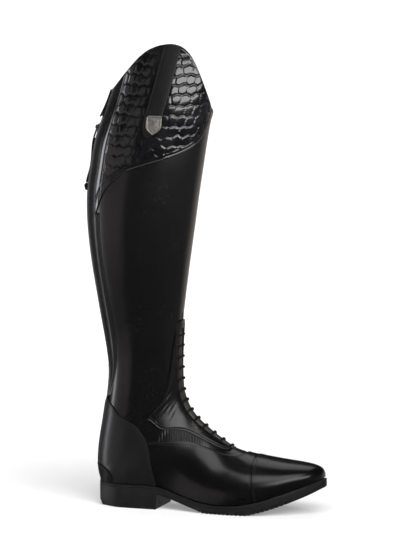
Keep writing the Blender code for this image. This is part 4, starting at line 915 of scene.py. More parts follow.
cap_corner = float(cap_station(np.array([-1.0]), VAMP_CAP_GAP)[0])
back, shoulder = VAMP_EDGE[-1], VAMP_EDGE[3]
halves = []
for side in (-1.0, 1.0):
    share = np.linspace(0.0, 1.0, 100)
    low, high = blend(VAMP_BACK_LOW, cap_corner, share), blend(back[0], shoulder[0], share)
    columns = [low, sole_turn(low, side), high, side * along_table(high, VAMP_EDGE)]
    columns.append(VAMP_BOW * np.maximum(1 - 3 * share, 0.0))
    share = np.linspace(0.0, 1.0, 60)[1:]
    low_turn, high_turn = columns[1][-1] * (1 - share), side * shoulder[1] * (1 - share)
    high = along_table(np.abs(high_turn), [(turn, station) for station, turn in VAMP_EDGE])
    front = [cap_station(low_turn, VAMP_CAP_GAP), low_turn, high, high_turn, 0 * share]
    halves.append(np.array([np.concatenate(pair) for pair in zip(columns, front)]))
columns = np.concatenate([halves[0], halves[1][:, -2::-1]], axis=1)
rise = np.linspace(0.0, 1.0, 36)[:, None]
stations = blend(columns[0], columns[2], rise) - 4 * columns[4] * rise * (1 - rise)
turns = blend(columns[1], columns[3], rise)
top = OVERLAY_TOP - VAMP_SKIVE
face = panel("vamp_calf", stations, turns, OVERLAY_UNDER, top, 0.35, calf, "black_leather", "vamp")
stitched("vamp_stitches", "black_leather", (face, "last_row", 1.5), (face, "last_row", 3.2))

# Toe cap: a second layer of calf over the toe, lasted under the sole with the vamp.
# Its straight rear line is sewn down with two rows.
CAP_FIRST, CAP_ROWS, CAP_RISE = 0.3, 60, 0.25
share = np.linspace(-1.0, 1.0, 121)[None]
along = np.linspace(0.0, 1.0, CAP_ROWS)[:, None]
stations = blend(CAP_FIRST, cap_station(share), along)
turns = np.abs(share) * sole_turn(stations, np.repeat(share, CAP_ROWS, axis=0))
top = OVERLAY_TOP + CAP_RISE
face = panel("toe_cap_calf", stations, turns, OVERLAY_UNDER, top, 0.4, calf, "black_leather", "toe_cap")
stitched("toe_cap_stitches", "black_leather", (face, "last_row", 1.6), (face, "last_row", 3.6))

# Flex panels: thin pleated calf let in between vamp and facing on both sides, so that the instep can bend.
# Their edges are caught under the two seams.
# Columns of the facing's lower edge: station, distance from the instep line
FACING_LOW_EDGE = [
    (8.20, 14.5),
    (8.50, 17.9),
    (9.25, 20.3),
    (10.00, 22.4),
    (10.65, 25.2),
    (11.20, 29.7),
    (11.80, 37.1),
    (12.60, 48.3),
    (13.20, 53.4),
]
PLEAT_PITCH, PLEAT_HEIGHT, PLEAT_TOP, PLEAT_UNDER = 2.9, 0.95, 0.2, 0.02
FLEX_FROM, FLEX_TO, FLEX_TUCK, FLEX_COLUMNS, FLEX_ROWS = 8.3, 12.9, 1.5, 290, 26
for side, name in ((-1.0, "flex_panel_outer"), (1.0, "flex_panel_inner")):
    station = np.linspace(FLEX_FROM, FLEX_TO, FLEX_COLUMNS)
    upper_turn = side * (along_table(station, FACING_LOW_EDGE) - FLEX_TUCK) / girth(station, side)
    lower_turn = side * (along_table(station, VAMP_EDGE) + 0.012)
    rise = np.linspace(0.0, 1.0, FLEX_ROWS)[:, None]
    stations = np.repeat(station[None], FLEX_ROWS, axis=0)
    turns = blend(lower_turn, upper_turn, rise)
    forward = skin(stations, turns)[..., 0]
    wave = np.sin(math.pi * (forward / PLEAT_PITCH + 0.2 * np.sin(forward / 5.3)) + 0.9 * (rise - 0.5))
    strength = eased((station - 9.0) / 1.3) * eased((12.7 - station) / 0.7)
    pleats = PLEAT_TOP + PLEAT_HEIGHT * np.abs(wave) ** 0.8 * strength
    outside, inside, normals = raised(stations, turns, pleats, PLEAT_UNDER)
    fitted(wall(name, outside, inside), calf, "black_leather")

# Counter: calf with a stiffener behind it, cupped round the heel and up the back to the zip's foot.
# It is rougher than the shaft's calf, lighter in colour as a painted reflection, and sewn down with two rows.
# Columns of the front edge: station, distance from the instep line
COUNTER_EDGE = [
    (10.85, 99.0),
    (11.35, 90.6),
    (11.90, 82.2),
    (12.50, 75.8),
    (13.35, 73.0),
    (14.35, 75.6),
    (15.50, 81.6),
    (16.75, 93.2),
    (17.95, 106.0),
    (19.00, 116.0),
    (20.40, 134.0),
]


def heel_wrap(name, stations, edge, columns, under, top):
    """A panel round the heel, from its front edge on one side to the other. Gives the faces of both sides."""
    shares = np.linspace(0.0, 1.0, columns) ** 1.3
    halves = []
    for side in (-1.0, 1.0):
        front = along_table(stations, edge) / girth(stations, side)
        back = np.where(stations >= HEEL_STATION, 1.0, np.abs(sole_turn(stations, side)))
        halves.append(side * blend(back[:, None], front[:, None], shares))
    turns = np.concatenate([halves[0], halves[1][:, ::-1]], axis=1)
    grid = np.repeat(stations[:, None], turns.shape[1], axis=1)
    outside, inside, normals = raised(grid, turns, top, under)
    kept = np.ones((len(stations) - 1, turns.shape[1] - 1), bool)
    kept[:, columns - 1] = False
    piece = wall(name, outside, inside, kept, stations >= HEEL_STATION)
    sides = (slice(None, columns), slice(columns, None))
    return rounded(piece, 0.3), [(outside[:, side], normals[:, side]) for side in sides]


stations = np.concatenate([np.linspace(10.95, 14.94, 60), np.linspace(15.0, COUNTER_EDGE[-1][0], 70)])
counter, faces = heel_wrap("counter_calf", stations, COUNTER_EDGE, 46, OVERLAY_UNDER, OVERLAY_TOP)
# Base colours two to three times the shaft calf's: a painted reflection on the heel, not the leather's own
# tone.
stiff_calf_painted_reflection = leather(
    "stiff_calf_painted_reflection",
    (0.0115, 0.0108, 0.0112),
    (0.0180, 0.0170, 0.0175),
    gloss=(0.29, 0.39),
    grain_size=0.9,
    grain_depth=0.022,
    coat=0.05,
)
fitted(counter, stiff_calf_painted_reflection, "black_leather", "counter")
rows = [(faces[0], "last_column", distance) for distance in (1.6, 3.8)]
rows += [(faces[1], "first_column", distance) for distance in (1.6, 3.8)]
stitched("counter_stitches", "black_leather", *rows)

# Heel tab: a small rest of matte leather at the back of the heel.
# It is cut with a curved top and sewn over the counter with one row.
# Columns of the front edge: station, distance from the instep line
HEEL_TAB_EDGE = [
    (13.60, 137.6),
    (14.00, 137.8),
    (14.55, 139.6),
    (15.30, 146.5),
    (15.80, 155.5),
    (16.15, 166.0),
]
HEEL_TAB_THICK = 1.3
matte = leather(
    "matte_leather",
    (0.0060, 0.0060, 0.0066),
    (0.0120, 0.0120, 0.0132),
    gloss=(0.40, 0.52),
    grain_size=0.8,
    grain_depth=0.04,
    coat=0.0,
    shine=0.2,
)
stations = np.concatenate([np.linspace(13.6, 14.94, 26), np.linspace(15.0, HEEL_TAB_EDGE[-1][0], 24)])
top = OVERLAY_TOP + HEEL_TAB_THICK
heel_tab, faces = heel_wrap("heel_tab_leather", stations, HEEL_TAB_EDGE, 20, OVERLAY_TOP, top)
fitted(heel_tab, matte, "matte_leather", "heel_tab")
rows = [(faces[0], "last_column", 1.5), (faces[1], "first_column", 1.5)]
stitched("heel_tab_stitches", "matte_leather", *rows)

# Back strip: a narrow stay of calf over the back seam, from the heel tab up to the zip's foot.
# It steps down off the counter's top and is sewn along both edges.
BACK_STRIP_HALF, BACK_STRIP_LOW, BACK_STRIP_HIGH = 10.0, 15.7, 22.35
BACK_STRIP_STEP, BACK_STRIP_RISE, BACK_STRIP_THICK = 20.0, 0.75, 0.7
share = np.linspace(-1.0, 1.0, 31)
station = np.linspace(BACK_STRIP_LOW, BACK_STRIP_HIGH, 100)
stations = np.repeat(station[:, None], len(share), axis=1)
side = np.where(share < 0, -1.0, 1.0)
turns = -side * (1 - (BACK_STRIP_HALF * np.abs(share)) / girth(stations, side))
top = blend(OVERLAY_TOP, 0.2, eased((stations - BACK_STRIP_STEP) / 0.5)) + BACK_STRIP_RISE
under = top - BACK_STRIP_THICK
face = panel("back_strip_calf", stations, turns, under, top, 0.3, calf, "black_leather")
rows = [(face, edge, 1.5) for edge in ("first_column", "last_column")]
stitched("back_strip_stitches", "black_leather", *rows)

# Facing: the eyestay, a horseshoe of calf round the throat that carries the laces.
# Its lower edge is rolled, its rear edge is doubled by a strip, and it is sewn down with black thread.
# Columns: station and distance of its outer edge from the instep line, station of the throat's edge across
FACING = [
    (8.00, 12.5, 7.95),
    (8.50, 17.8, 8.40),
    (9.25, 20.3, 9.05),
    (10.00, 22.4, 9.70),
    (10.65, 25.2, 10.25),
    (11.20, 29.7, 10.75),
    (11.80, 37.1, 11.25),
    (12.60, 48.3, 11.75),
    (13.20, 53.4, 12.20),
    (13.75, 56.0, 12.65),
    (14.50, 60.0, 13.10),
    (15.10, 63.5, 13.55),
    (15.05, 50.0, 14.10),
    (15.35, 37.4, 14.80),
    (16.35, 28.5, 16.00),
    (17.75, 22.3, 17.50),
    (19.20, 18.8, 19.00),
    (20.30, 16.0, 20.10),
]
# Columns of the outer strip that doubles its rear edge: place in the table above, width
STRIP_WIDTH = [
    (8.0, 3.0),
    (9.0, 5.0),
    (10.0, 11.0),
    (11.0, 16.5),
    (12.0, 14.5),
    (13.0, 13.5),
    (14.0, 11.5),
    (15.0, 9.5),
    (16.0, 7.5),
    (17.0, 5.5),
]
FACING_MARGIN, FACING_TOP, FACING_TOP_HALF, FACING_SKIVE = 0.5, 21.45, 12.0, 0.15
ARCH_GAP, ARCH_HALF, STATION_PITCH = 0.15, 5.0, 12.0
ROLL_WIDTH, ROLL_HEIGHT, ROLL_GROOVE, ROLL_FADES, REAR_ROLL = 3.4, 0.6, 0.4, 10.6, 0.35
STRIP_FROM, STRIP_HEIGHT, STRIP_ROLL, STRIP_GROOVE = 8.6, 0.45, 0.3, 0.3
LEG_ROWS, ARCH_ROWS = 160, 24
EDGE_STEPS = np.array([0.0, 0.4, 0.8, 1.2, 1.7, 2.3, 2.9, 3.3, 3.7, 4.1, 4.7, 5.4])


def hump(distance, width):
    """A round ridge, 1 where the distance is 0."""
    return np.exp(-((distance / width) ** 2))


place = np.linspace(0.0, len(FACING) - 1.0, LEG_ROWS)
edge_station, edge_reach, near_station = through(FACING, place).T
near_reach = throat_half(near_station) + FACING_MARGIN
spread = np.linspace(0.0, 1.0, 46)[1:]
width = np.hypot(edge_reach - near_reach, STATION_PITCH * (edge_station - near_station))
inward = np.concatenate(
    [
        np.minimum(EDGE_STEPS[None] / width[:, None], np.linspace(0.0, 0.8, len(EDGE_STEPS))),
        np.zeros((LEG_ROWS, len(spread))),
    ],
    axis=1,
)
inward[:, len(EDGE_STEPS) :] = blend(inward[:, len(EDGE_STEPS) - 1, None], 1.0, spread)
leg_station = blend(edge_station[:, None], near_station[:, None], inward)
leg_reach = blend(edge_reach[:, None], near_reach[:, None], inward)
leg_in = inward * width[:, None]
leg_roll = blend(1.0, REAR_ROLL, eased((place - ROLL_FADES) / 0.8))
leg_roll = np.repeat(leg_roll[:, None], inward.shape[1], axis=1)
share = np.linspace(-1.0, 1.0, ARCH_ROWS)[:, None]
arch_inward = np.repeat(inward[-1:], ARCH_ROWS, axis=0)
arch_station = blend(FACING_TOP, THROAT_HIGH + ARCH_GAP, arch_inward)
arch_reach = share * blend(FACING_TOP_HALF, ARCH_HALF, arch_inward)
stations = np.concatenate([leg_station, arch_station, leg_station[::-1]])
reach = np.concatenate([-leg_reach, arch_reach, leg_reach[::-1]])
in_from_edge = np.concatenate([leg_in, arch_inward * width[-1], leg_in[::-1]])
roll = np.concatenate([leg_roll, np.full(arch_inward.shape, REAR_ROLL), leg_roll[::-1]])
turns = reach / girth(stations, np.where(reach < 0, -1.0, 1.0))
bead = np.sqrt(np.clip(1 - (2 * in_from_edge / ROLL_WIDTH - 1) ** 2, 0.0, 1.0))
groove = hump(in_from_edge - ROLL_WIDTH - 0.35, 0.35)
all_places = np.concatenate([place, np.full(ARCH_ROWS, place[-1]), place[::-1]])[:, None]
strip = along_table(all_places, STRIP_WIDTH)
has_strip = eased((all_places - STRIP_FROM) / 0.5)
on_strip = has_strip * (1 - eased((in_from_edge - strip) / 0.8))
strip_roll = has_strip * hump(in_from_edge - strip + 1.3, 1.0)
strip_groove = has_strip * hump(in_from_edge - strip - 0.9, 0.7)
top = OVERLAY_TOP - FACING_SKIVE + roll * (ROLL_HEIGHT * bead - ROLL_GROOVE * groove)
top = top + STRIP_HEIGHT * on_strip + STRIP_ROLL * strip_roll - STRIP_GROOVE * strip_groove
face = panel("facing_calf", stations, turns, OVERLAY_UNDER, top, 0.3, calf, "black_leather", "facing")
rows = [(face, "first_column", 4.6), (face, "first_column", 6.0), (face, "last_column", 1.6)]
stitched("facing_stitches", "black_leather", *rows)

# Zip panels: strips of calf sewn down both sides of the rear zip, each pressed into two low ridges.
# In front of them the shaft's edge is folded over and sewn with two rows.
# Columns of the front edge: station, distance from the back line
PANEL_EDGE = [
    (20.20, 19.0),
    (21.25, 27.0),
    (22.40, 31.5),
    (24.00, 35.4),
    (26.00, 38.6),
    (28.00, 41.8),
    (30.00, 43.6),
    (32.00, 43.5),
    (34.20, 42.0),
]
PANEL_TOP, PANEL_FROM, PANEL_ROWS, PANEL_COLUMNS = 0.35, 20.2, 170, 32
PANEL_MEET, PANEL_PART, SLOT_MARGIN, RIDGE_HEIGHT = 0.5, 22.1, 0.35, 0.5
COLLAR_GAP, PANEL_GIRTH, PANEL_LIFT = 0.04, 181.0, 33.0
ROLL_RUN, ROLL_RADIUS, CUFF_FOOT = 9.0, 1.5, 29.2
FOLD_SINK, FOLD_HEIGHT, FOLD_SKIN = 0.2, 1.1, 0.03
for side, name in ((-1.0, "zip_panel_outer"), (1.0, "zip_panel_inner")):
    top_station = collar_station(np.full(1, side))[0] - COLLAR_GAP
    station = np.linspace(PANEL_FROM, top_station, PANEL_ROWS)
    near = blend(PANEL_MEET, ZIP_SLOT_HALF + SLOT_MARGIN, eased((station - PANEL_PART) / 0.3))
    far = along_table(station, PANEL_EDGE)
    share = np.linspace(0.0, 1.0, PANEL_COLUMNS)
    distance = blend(near[:, None], far[:, None], share)
    stations = np.repeat(station[:, None], PANEL_COLUMNS, axis=1)
    collar_here = collar_station(side * (1 - distance / PANEL_GIRTH)) - COLLAR_GAP
    lift = eased((stations - PANEL_LIFT) / 1.2) * (collar_here - top_station)
    stations = stations + lift
    turns = side * (1 - distance / girth(stations, side))
    from_slot = distance - near[:, None]
    ridge = RIDGE_HEIGHT * hump(from_slot - 2.2, 1.3) + RIDGE_HEIGHT * hump(from_slot - 9.0, 1.6)
    face = panel(name, stations, turns, OVERLAY_UNDER, PANEL_TOP + ridge, 0.3, calf, "black_leather")
    rows = [(face, "first_column", gap) for gap in (5.2, 12.5)]
    stitched(name + "_stitches", "black_leather", *rows)
    from_edge = np.concatenate([np.linspace(0.0, 3.0, 13), np.linspace(3.5, ROLL_RUN, 10)])
    seen = station < (CUFF_FOOT if side < 0 else RING_STATION + 9)
    stations = np.repeat(station[seen, None], len(from_edge), axis=1) + lift[seen, -1:]
    turns = side * (1 - (far[seen, None] + from_edge) / girth(stations, side))
    fold = np.sqrt(np.clip(1 - np.clip(1 - from_edge / ROLL_RADIUS, 0.0, 1.0) ** 2, 0.0, 1.0))
    fold = PANEL_TOP - FOLD_SINK + FOLD_HEIGHT * fold * (1 - eased((from_edge - 2.0) / (ROLL_RUN - 2.2)))
    outside, inside, normals = raised(stations, turns, fold + FOLD_SKIN, 0.0)
    edge_name = "shaft_edge_outer" if side < 0 else "shaft_edge_inner"
    fitted(wall(edge_name, outside, inside), calf, "black_leather")
    rows = [((outside, normals), "first_column", gap) for gap in (3.4, 5.4)]
    stitched(edge_name + "_stitches", "black_leather", *rows)

# Cuff: patent leather with a pressed scale print, round the outer side of the shaft's top.
# Its lower edge is a plain turned band, sewn down with one row of grey thread.
# Columns of that edge: turn, z
CUFF_EDGE = [
    (-0.765, 336.0),
    (-0.74, 345.0),
    (-0.70, 361.0),
    (-0.64, 376.0),
    (-0.56, 389.0),
    (-0.44, 398.5),
    (-0.33, 405.0),
    (-0.22, 412.0),
    (-0.13, 420.0),
    (-0.06, 431.0),
    (0.00, 444.0),
    (0.05, 452.0),
]
SCALE_WIDE, SCALE_TALL, SCALE_SHIFT, GROOVE_DEPTH = 11.8, 11.8, 2.1, 0.6
SIDE_GROOVE, ROW_GROOVE, BACK_MARGIN, BACK_SLOPE = 1.2, 2.0, 8.6, 0.03
CRINKLE_SIZE, CRINKLE_HEIGHT = 2.6, 0.22
PRINT_BACK, PRINT_LOW, PRINT_WIDE, PRINT_TALL = -190.0, 285.0, 260.0, 320.0
RING_GIRTH, CUFF_ROWS, CUFF_TRIM, CUFF_RIDGE = 186.0, 158, 0.05, 0.25
BAND_FRONT, BAND_BACK, COLLAR_BAND, GREY_PITCH = 5.5, 8.0, 3.0, 2.8


def nearest_two(x, z, wide, tall, shift, brick, seed):
    """Cells of a jittered grid: the nearest seed's number and distance, the way to the cell's edge,
    and whether the next cell lies above or below."""
    columns, rows = int(PRINT_WIDE / wide), int(PRINT_TALL / tall)
    shifts = np.random.default_rng(seed).uniform(-shift, shift, (rows, columns, 2))
    near_by = np.arange(-2, 3)
    j = np.rint((z.ravel() - PRINT_LOW) / tall).astype(int) + near_by[:, None, None]
    i = np.rint((x.ravel() - PRINT_BACK) / wide).astype(int) + near_by[None, :, None]
    j, i = np.broadcast_arrays(j, i)
    seed_x = PRINT_BACK + (i + brick * (j % 2)) * wide + shifts[j, i, 0]
    seed_z = PRINT_LOW + j * tall + shifts[j, i, 1]
    seed_x, seed_z, number = (grid.reshape(25, -1) for grid in (seed_x, seed_z, j * columns + i))
    far = np.hypot(seed_x - x.ravel(), seed_z - z.ravel())
    pair = np.argsort(far, axis=0)[:2]
    grids = (far, seed_x, seed_z, number)
    far, seed_x, seed_z, number = (np.take_along_axis(grid, pair, axis=0) for grid in grids)
    apart_x, apart_z = seed_x[1] - seed_x[0], seed_z[1] - seed_z[0]
    to_edge = (far[1] ** 2 - far[0] ** 2) / (2 * np.hypot(apart_x, apart_z))
    above = np.abs(apart_z) > np.abs(apart_x)
    return [found.reshape(x.shape) for found in (number[0], far[0], to_edge, above)]


def scale_print(x, z):
    """Height of the pressed print: crowned scales in rows, the grooves between rows crinkled."""
    number, away, to_edge, above = nearest_two(x, z, SCALE_WIDE, SCALE_TALL, SCALE_SHIFT, 0.45, 11)
    crowns = np.random.default_rng(5).uniform(0.08, 0.20, 2000)[number]
    groove = 1 - eased(to_edge / np.where(above, ROW_GROOVE, SIDE_GROOVE))
    crinkle_edge = nearest_two(x, z, CRINKLE_SIZE, CRINKLE_SIZE, 0.9, 0.5, 23)[2]
    crinkle = CRINKLE_HEIGHT * eased(crinkle_edge / 0.9) * eased(groove * 1.6)
    crown = crowns * (1 - np.clip(away / 7.0, 0.0, 1.0) ** 2)
    return crown - GROOVE_DEPTH * groove + crinkle


back_turn, front_turn = CUFF_EDGE[0][0], CUFF_EDGE[-1][0]
turn = np.concatenate(
    [np.linspace(back_turn, back_turn + 0.03, 15), np.linspace(back_turn + 0.034, front_turn, 185)]
)
edge_z = along_table(turn, CUFF_EDGE)
start = np.full(turn.shape, HEEL_STATION)
low = found_between(start, start + 22.0, lambda station: skin(station, turn)[:, 2] < edge_z)
rise = np.linspace(0.0, 1.0, CUFF_ROWS)[:, None]
stations = blend(low, collar_station(turn) - CUFF_TRIM, rise)
turns = np.repeat(turn[None], CUFF_ROWS, axis=0)
x, z = turns * RING_GIRTH, skin(stations, turns)[..., 2]
slope = np.gradient(edge_z, turn * RING_GIRTH)
above_edge = (z - edge_z) / np.sqrt(1 + slope**2)
below_collar = along_table(turn, COLLAR) - z
band = blend(BAND_FRONT, BAND_BACK, eased((-0.6 - turn) / 0.15))
printed = eased((above_edge - band - 0.2) / 1.0) * eased((below_collar - COLLAR_BAND) / 1.0)
ridges = hump(above_edge - band, 0.7) - 0.8 * hump(above_edge - band + 2.2, 0.8)
ridges -= 0.7 * hump(below_collar - COLLAR_BAND, 0.8)
from_back = (turn - back_turn) * RING_GIRTH
printed = printed * eased((from_back - BACK_MARGIN) / 1.0) * blend(0.45, 1.0, eased((turn + 0.62) / 0.25))
margin = -BACK_SLOPE * np.maximum(BACK_MARGIN - from_back, 0.0) - 0.5 * hump(from_back - BACK_MARGIN, 0.6)
top = OVERLAY_TOP + printed * scale_print(x, z) + CUFF_RIDGE * ridges + margin
patent, place = new_finish("black_patent")
ripple = place.noise(420.0, 3.0, 0.55)
crackle = place.node("ShaderNodeTexVoronoi", {"feature": "SMOOTH_F1"}, {"Vector": place, "Scale": 520.0})
relief = ripple * 0.7 + crackle * 0.3
dull = place.noise(60.0, 3.0).between(0.4, 0.75)
shade = dull.mixed((0.0045, 0.0045, 0.0050), (0.010, 0.010, 0.011))
paint(patent, {"Base Color": shade, "Roughness": 0.10 + dull * 0.10, "Normal": relief.bumped(0.00007, 0.4)})
paint(patent, {"Coat Weight": 0.58, "Coat Roughness": 0.05, "Specular IOR Level": 0.25})
face = panel("cuff_patent", stations, turns, OVERLAY_UNDER, top, 0.3, patent, "patent_leather", "cuff")
grey_thread = thread("grey_thread", (0.15, 0.15, 0.155))
grey_bead = thread_bead(length=1.6, width=0.7, height=0.3)
lines = [inset_line(face, "first_row", 1.5, 0.3, 0.94)]
sewn("cuff_stitches", lines, GREY_PITCH, grey_bead, grey_thread, "patent_leather")

# Cuff strap: a plain matte strap with a pressed border, pointed like a shield at its lower end.
# It is sewn down over the cuff from the collar's peak.
STRAP_UNDER, STRAP_TOP, STRAP_WIDTH, STRAP_TRIM = 1.4, 2.9, 20.0, 0.6
STRAP_END_Z, STRAP_POINT, COLLAR_PEAK = 431.0, 24.0, 539.0
STRAP_TURN_TOP, STRAP_TURN_END = -0.425, -0.446
SHIELD_SHOULDER, SHIELD_TIP = 0.35, 0.04


def shield_share(share):
    """Half-width share of a shield from its top (0) to its point (1)."""
    taper = np.maximum(share - SHIELD_SHOULDER, 0.0) / (1 - SHIELD_SHOULDER)
    return np.maximum(np.sqrt(np.maximum(1 - taper**2, 0.0)), SHIELD_TIP)


def strap_place(z, across, width):
    """Turn on the strap's line at height z, some way across it."""
    middle = blend(STRAP_TURN_END, STRAP_TURN_TOP, (z - STRAP_END_Z) / (COLLAR_PEAK - STRAP_END_Z))
    return middle + across * width / RING_GIRTH


share = np.linspace(0.0, 1.0, 120)[:, None]
across = np.linspace(-0.5, 0.5, 29)[None]
pointed = STRAP_POINT / (COLLAR_PEAK - STRAP_END_Z)
shape = shield_share(blend(SHIELD_SHOULDER, 1.0, np.maximum(share - 1 + pointed, 0.0) / pointed))
turns = strap_place(blend(COLLAR_PEAK, STRAP_END_Z, share), across, STRAP_WIDTH * shape)
strap_z = blend(along_table(turns, COLLAR) - STRAP_TRIM, STRAP_END_Z, share)
stations = RING_STATION + (strap_z - RING_BASE_Z) / RING_STEP
from_edge = (0.5 - np.abs(across)) * STRAP_WIDTH * shape
top = STRAP_TOP - 0.25 * hump(from_edge - 2.6, 0.5) - 0.35 * hump(from_edge, 0.7)
slot = "matte_leather"
face = panel("cuff_strap_leather", stations, turns, STRAP_UNDER, top, 0.3, matte, slot, "cuff_strap")
rows = [(face, edge, 1.5, 0.02, 0.9) for edge in ("first_column", "last_column")]
stitched("cuff_strap_stitches", slot, *rows)

# Badge: a bare shield of cast pewter with a raised rim and a slightly uneven face.
# It is riveted to the strap's end from behind.
BADGE_UNDER, BADGE_TOP, BADGE_TOP_Z, BADGE_END_Z, BADGE_WIDTH = 2.9, 4.2, 457.0, 435.0, 17.0
BADGE_SHIFT, BADGE_TURN, BADGE_SHOULDER, BADGE_TAPER = 1.2, 0.19, 0.58, 0.42
RIM_HEIGHT, DOME_HEIGHT, HAMMER_DEPTH = 0.55, 0.35, 0.05
share = np.linspace(0.0, 1.0, 64)[:, None]
across = np.linspace(-0.5, 0.5, 45)[None]
shape = np.maximum(1 - np.clip((share - BADGE_SHOULDER) / BADGE_TAPER, 0.0, 1.0) ** 1.7, SHIELD_TIP)
shape = shape * blend(0.82, 1.0, eased(share / 0.08))
badge_z = blend(BADGE_TOP_Z, BADGE_END_Z, share)
upright = BADGE_SHIFT + BADGE_TURN * (BADGE_TOP_Z - badge_z)
turns = strap_place(badge_z, across, BADGE_WIDTH * shape) + upright / RING_GIRTH
stations = RING_STATION + (badge_z - RING_BASE_Z) / RING_STEP
from_side = (0.5 - np.abs(across)) * BADGE_WIDTH * shape
from_top = share * (BADGE_TOP_Z - BADGE_END_Z)
from_edge = np.minimum(from_side, from_top)
rim = RIM_HEIGHT * hump(from_edge - 0.9, 0.7)
dome = DOME_HEIGHT * eased((from_edge - 2.2) / 4.0)
hammered = HAMMER_DEPTH * np.sin(badge_z * 2.1 + across * 9.0) * np.sin(across * 31.0)
top = BADGE_TOP + rim + dome + hammered * eased((from_edge - 2.0) / 1.0)


def metal(name, dark_colour, light_colour, roughness, shine):
    """Cast or pressed metal with a worn, slightly uneven polish."""
    material, place = new_finish(name)
    cloud = place.noise(320.0, 4.0, 0.6)
    pits = place.noise(2400.0, 2.0)
    colour = cloud.between(0.35, 0.65).mixed(dark_colour, light_colour)
    paint(material, {"Base Color": colour, "Roughness": roughness + cloud * 0.2})
    paint(material, {"Normal": pits.bumped(0.00004, 0.4), "Metallic": shine})
    return material


pewter = metal("pewter", (0.13, 0.125, 0.11), (0.27, 0.26, 0.23), 0.34, 0.6)
panel("badge_shield", stations, turns, BADGE_UNDER, top, 0.25, pewter, "pewter", "badge")

# Zip: two woven tapes sewn behind the slot, with moulded black teeth along their edges.
# It is closed, so the two rows of teeth mesh.
TAPE_TOP, TAPE_THICK, TAPE_HALF, TAPE_NEAR = -2.2, 0.7, 11.0, 1.6
TAPE_ROWS, TAPE_COLUMNS, TAPE_TRIM = 150, 14, 0.12
TOOTH_PITCH, TOOTH_REACH, TOOTH_TALL, TOOTH_SINK = 2.6, 2.7, 1.5, 0.5
zip_top = collar_station(np.full(1, 1.0))[0] - TAPE_TRIM
station = np.linspace(ZIP_STATION + TAPE_TRIM, zip_top, TAPE_ROWS)
woven, place = new_finish("woven_tape")
bands = {"bands_direction": "Z", "wave_type": "BANDS"}
ribs = place.node("ShaderNodeTexWave", bands, {"Vector": place, "Scale": 260.0, "Distortion": 0.4})
fibres = place.noise(1800.0, 2.0)
weave = ribs * 0.7 + fibres * 0.5
shade = weave.mixed((0.006, 0.006, 0.007), (0.020, 0.020, 0.022))
paint(woven, {"Base Color": shade, "Roughness": 0.8, "Normal": weave.bumped(0.0001, 0.7)})
share = np.linspace(0.0, 1.0, TAPE_COLUMNS)
for side in (-1.0, 1.0):
    distance = np.repeat(blend(TAPE_NEAR, TAPE_HALF, share)[None], TAPE_ROWS, axis=0)
    stations = np.repeat(station[:, None], TAPE_COLUMNS, axis=1)
    turns = side * (1 - distance / girth(stations, side))
    outside, inside, normals = raised(stations, turns, TAPE_TOP, TAPE_TOP - TAPE_THICK)
    name = "zip_tape_outer" if side < 0 else "zip_tape_inner"
    fitted(wall(name, outside, inside), woven, "black_textile")
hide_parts("zip")
back_line = raised(np.linspace(station[0], station[-1], 900), -1.0, -TOOTH_SINK - TOOTH_TALL / 2)[0]
run = running_length(back_line)
tooth = np.array(
    [
        (-0.75, -0.5, -0.75),
        (0.75, -0.5, -0.75),
        (0.75, -0.5, 0.45),
        (-0.75, -0.5, 0.45),
        (-0.95, 0.9, -0.75),
        (0.95, 0.9, -0.75),
        (0.80, 0.9, 0.75),
        (-0.80, 0.9, 0.75),
        (-0.60, TOOTH_REACH, -0.75),
        (0.60, TOOTH_REACH, -0.75),
        (0.45, TOOTH_REACH, 0.30),
        (-0.45, TOOTH_REACH, 0.30),
    ]
)
tooth_faces = [(0, 3, 2, 1), (8, 9, 10, 11)]
for k in (0, 4):
    tooth_faces += [(k + i, k + (i + 1) % 4, k + 4 + (i + 1) % 4, k + 4 + i) for i in range(4)]
moulded, place = new_finish("moulded_teeth")
speck = place.noise(900.0, 3.0)
shade = speck.mixed((0.012, 0.012, 0.012), (0.032, 0.032, 0.033))
paint(moulded, {"Base Color": shade, "Roughness": 0.28 + speck * 0.2, "Normal": speck.bumped(0.00003, 0.3)})


def mended(piece, *steps):
    """Runs mesh operators with their settings on the whole of a piece."""
    bpy.context.view_layer.objects.active = piece
    bpy.ops.object.mode_set(mode="EDIT")
    bpy.ops.mesh.select_all(action="SELECT")
    for operator, settings in steps:
        operator(**settings)
    bpy.ops.object.mode_set(mode="OBJECT")


centres, frames = [], []
for side in (-1.0, 1.0):
    places = np.arange(TOOTH_PITCH * (0.5 if side < 0 else 1.0), run[-1] - 1.0, TOOTH_PITCH)
    at = at_lengths(back_line, run, places)
    climb = at_lengths(back_line, run, places + 0.5) - at
    climb /= np.linalg.norm(climb, axis=1)[:, None]
    sideways = np.repeat([[0.0, side, 0.0]], len(at), axis=0)
    out = np.cross(sideways, climb) * -side
    centres.append(at)
    frames.append(np.stack([climb, sideways, out], axis=1))
teeth = copies("zip_teeth", tooth, np.array(tooth_faces), np.concatenate(centres), np.concatenate(frames))
mended(teeth, (bpy.ops.mesh.normals_make_consistent, {"inside": False}))
teeth.data.shade_flat()
fitted(teeth, moulded, "black_textile")

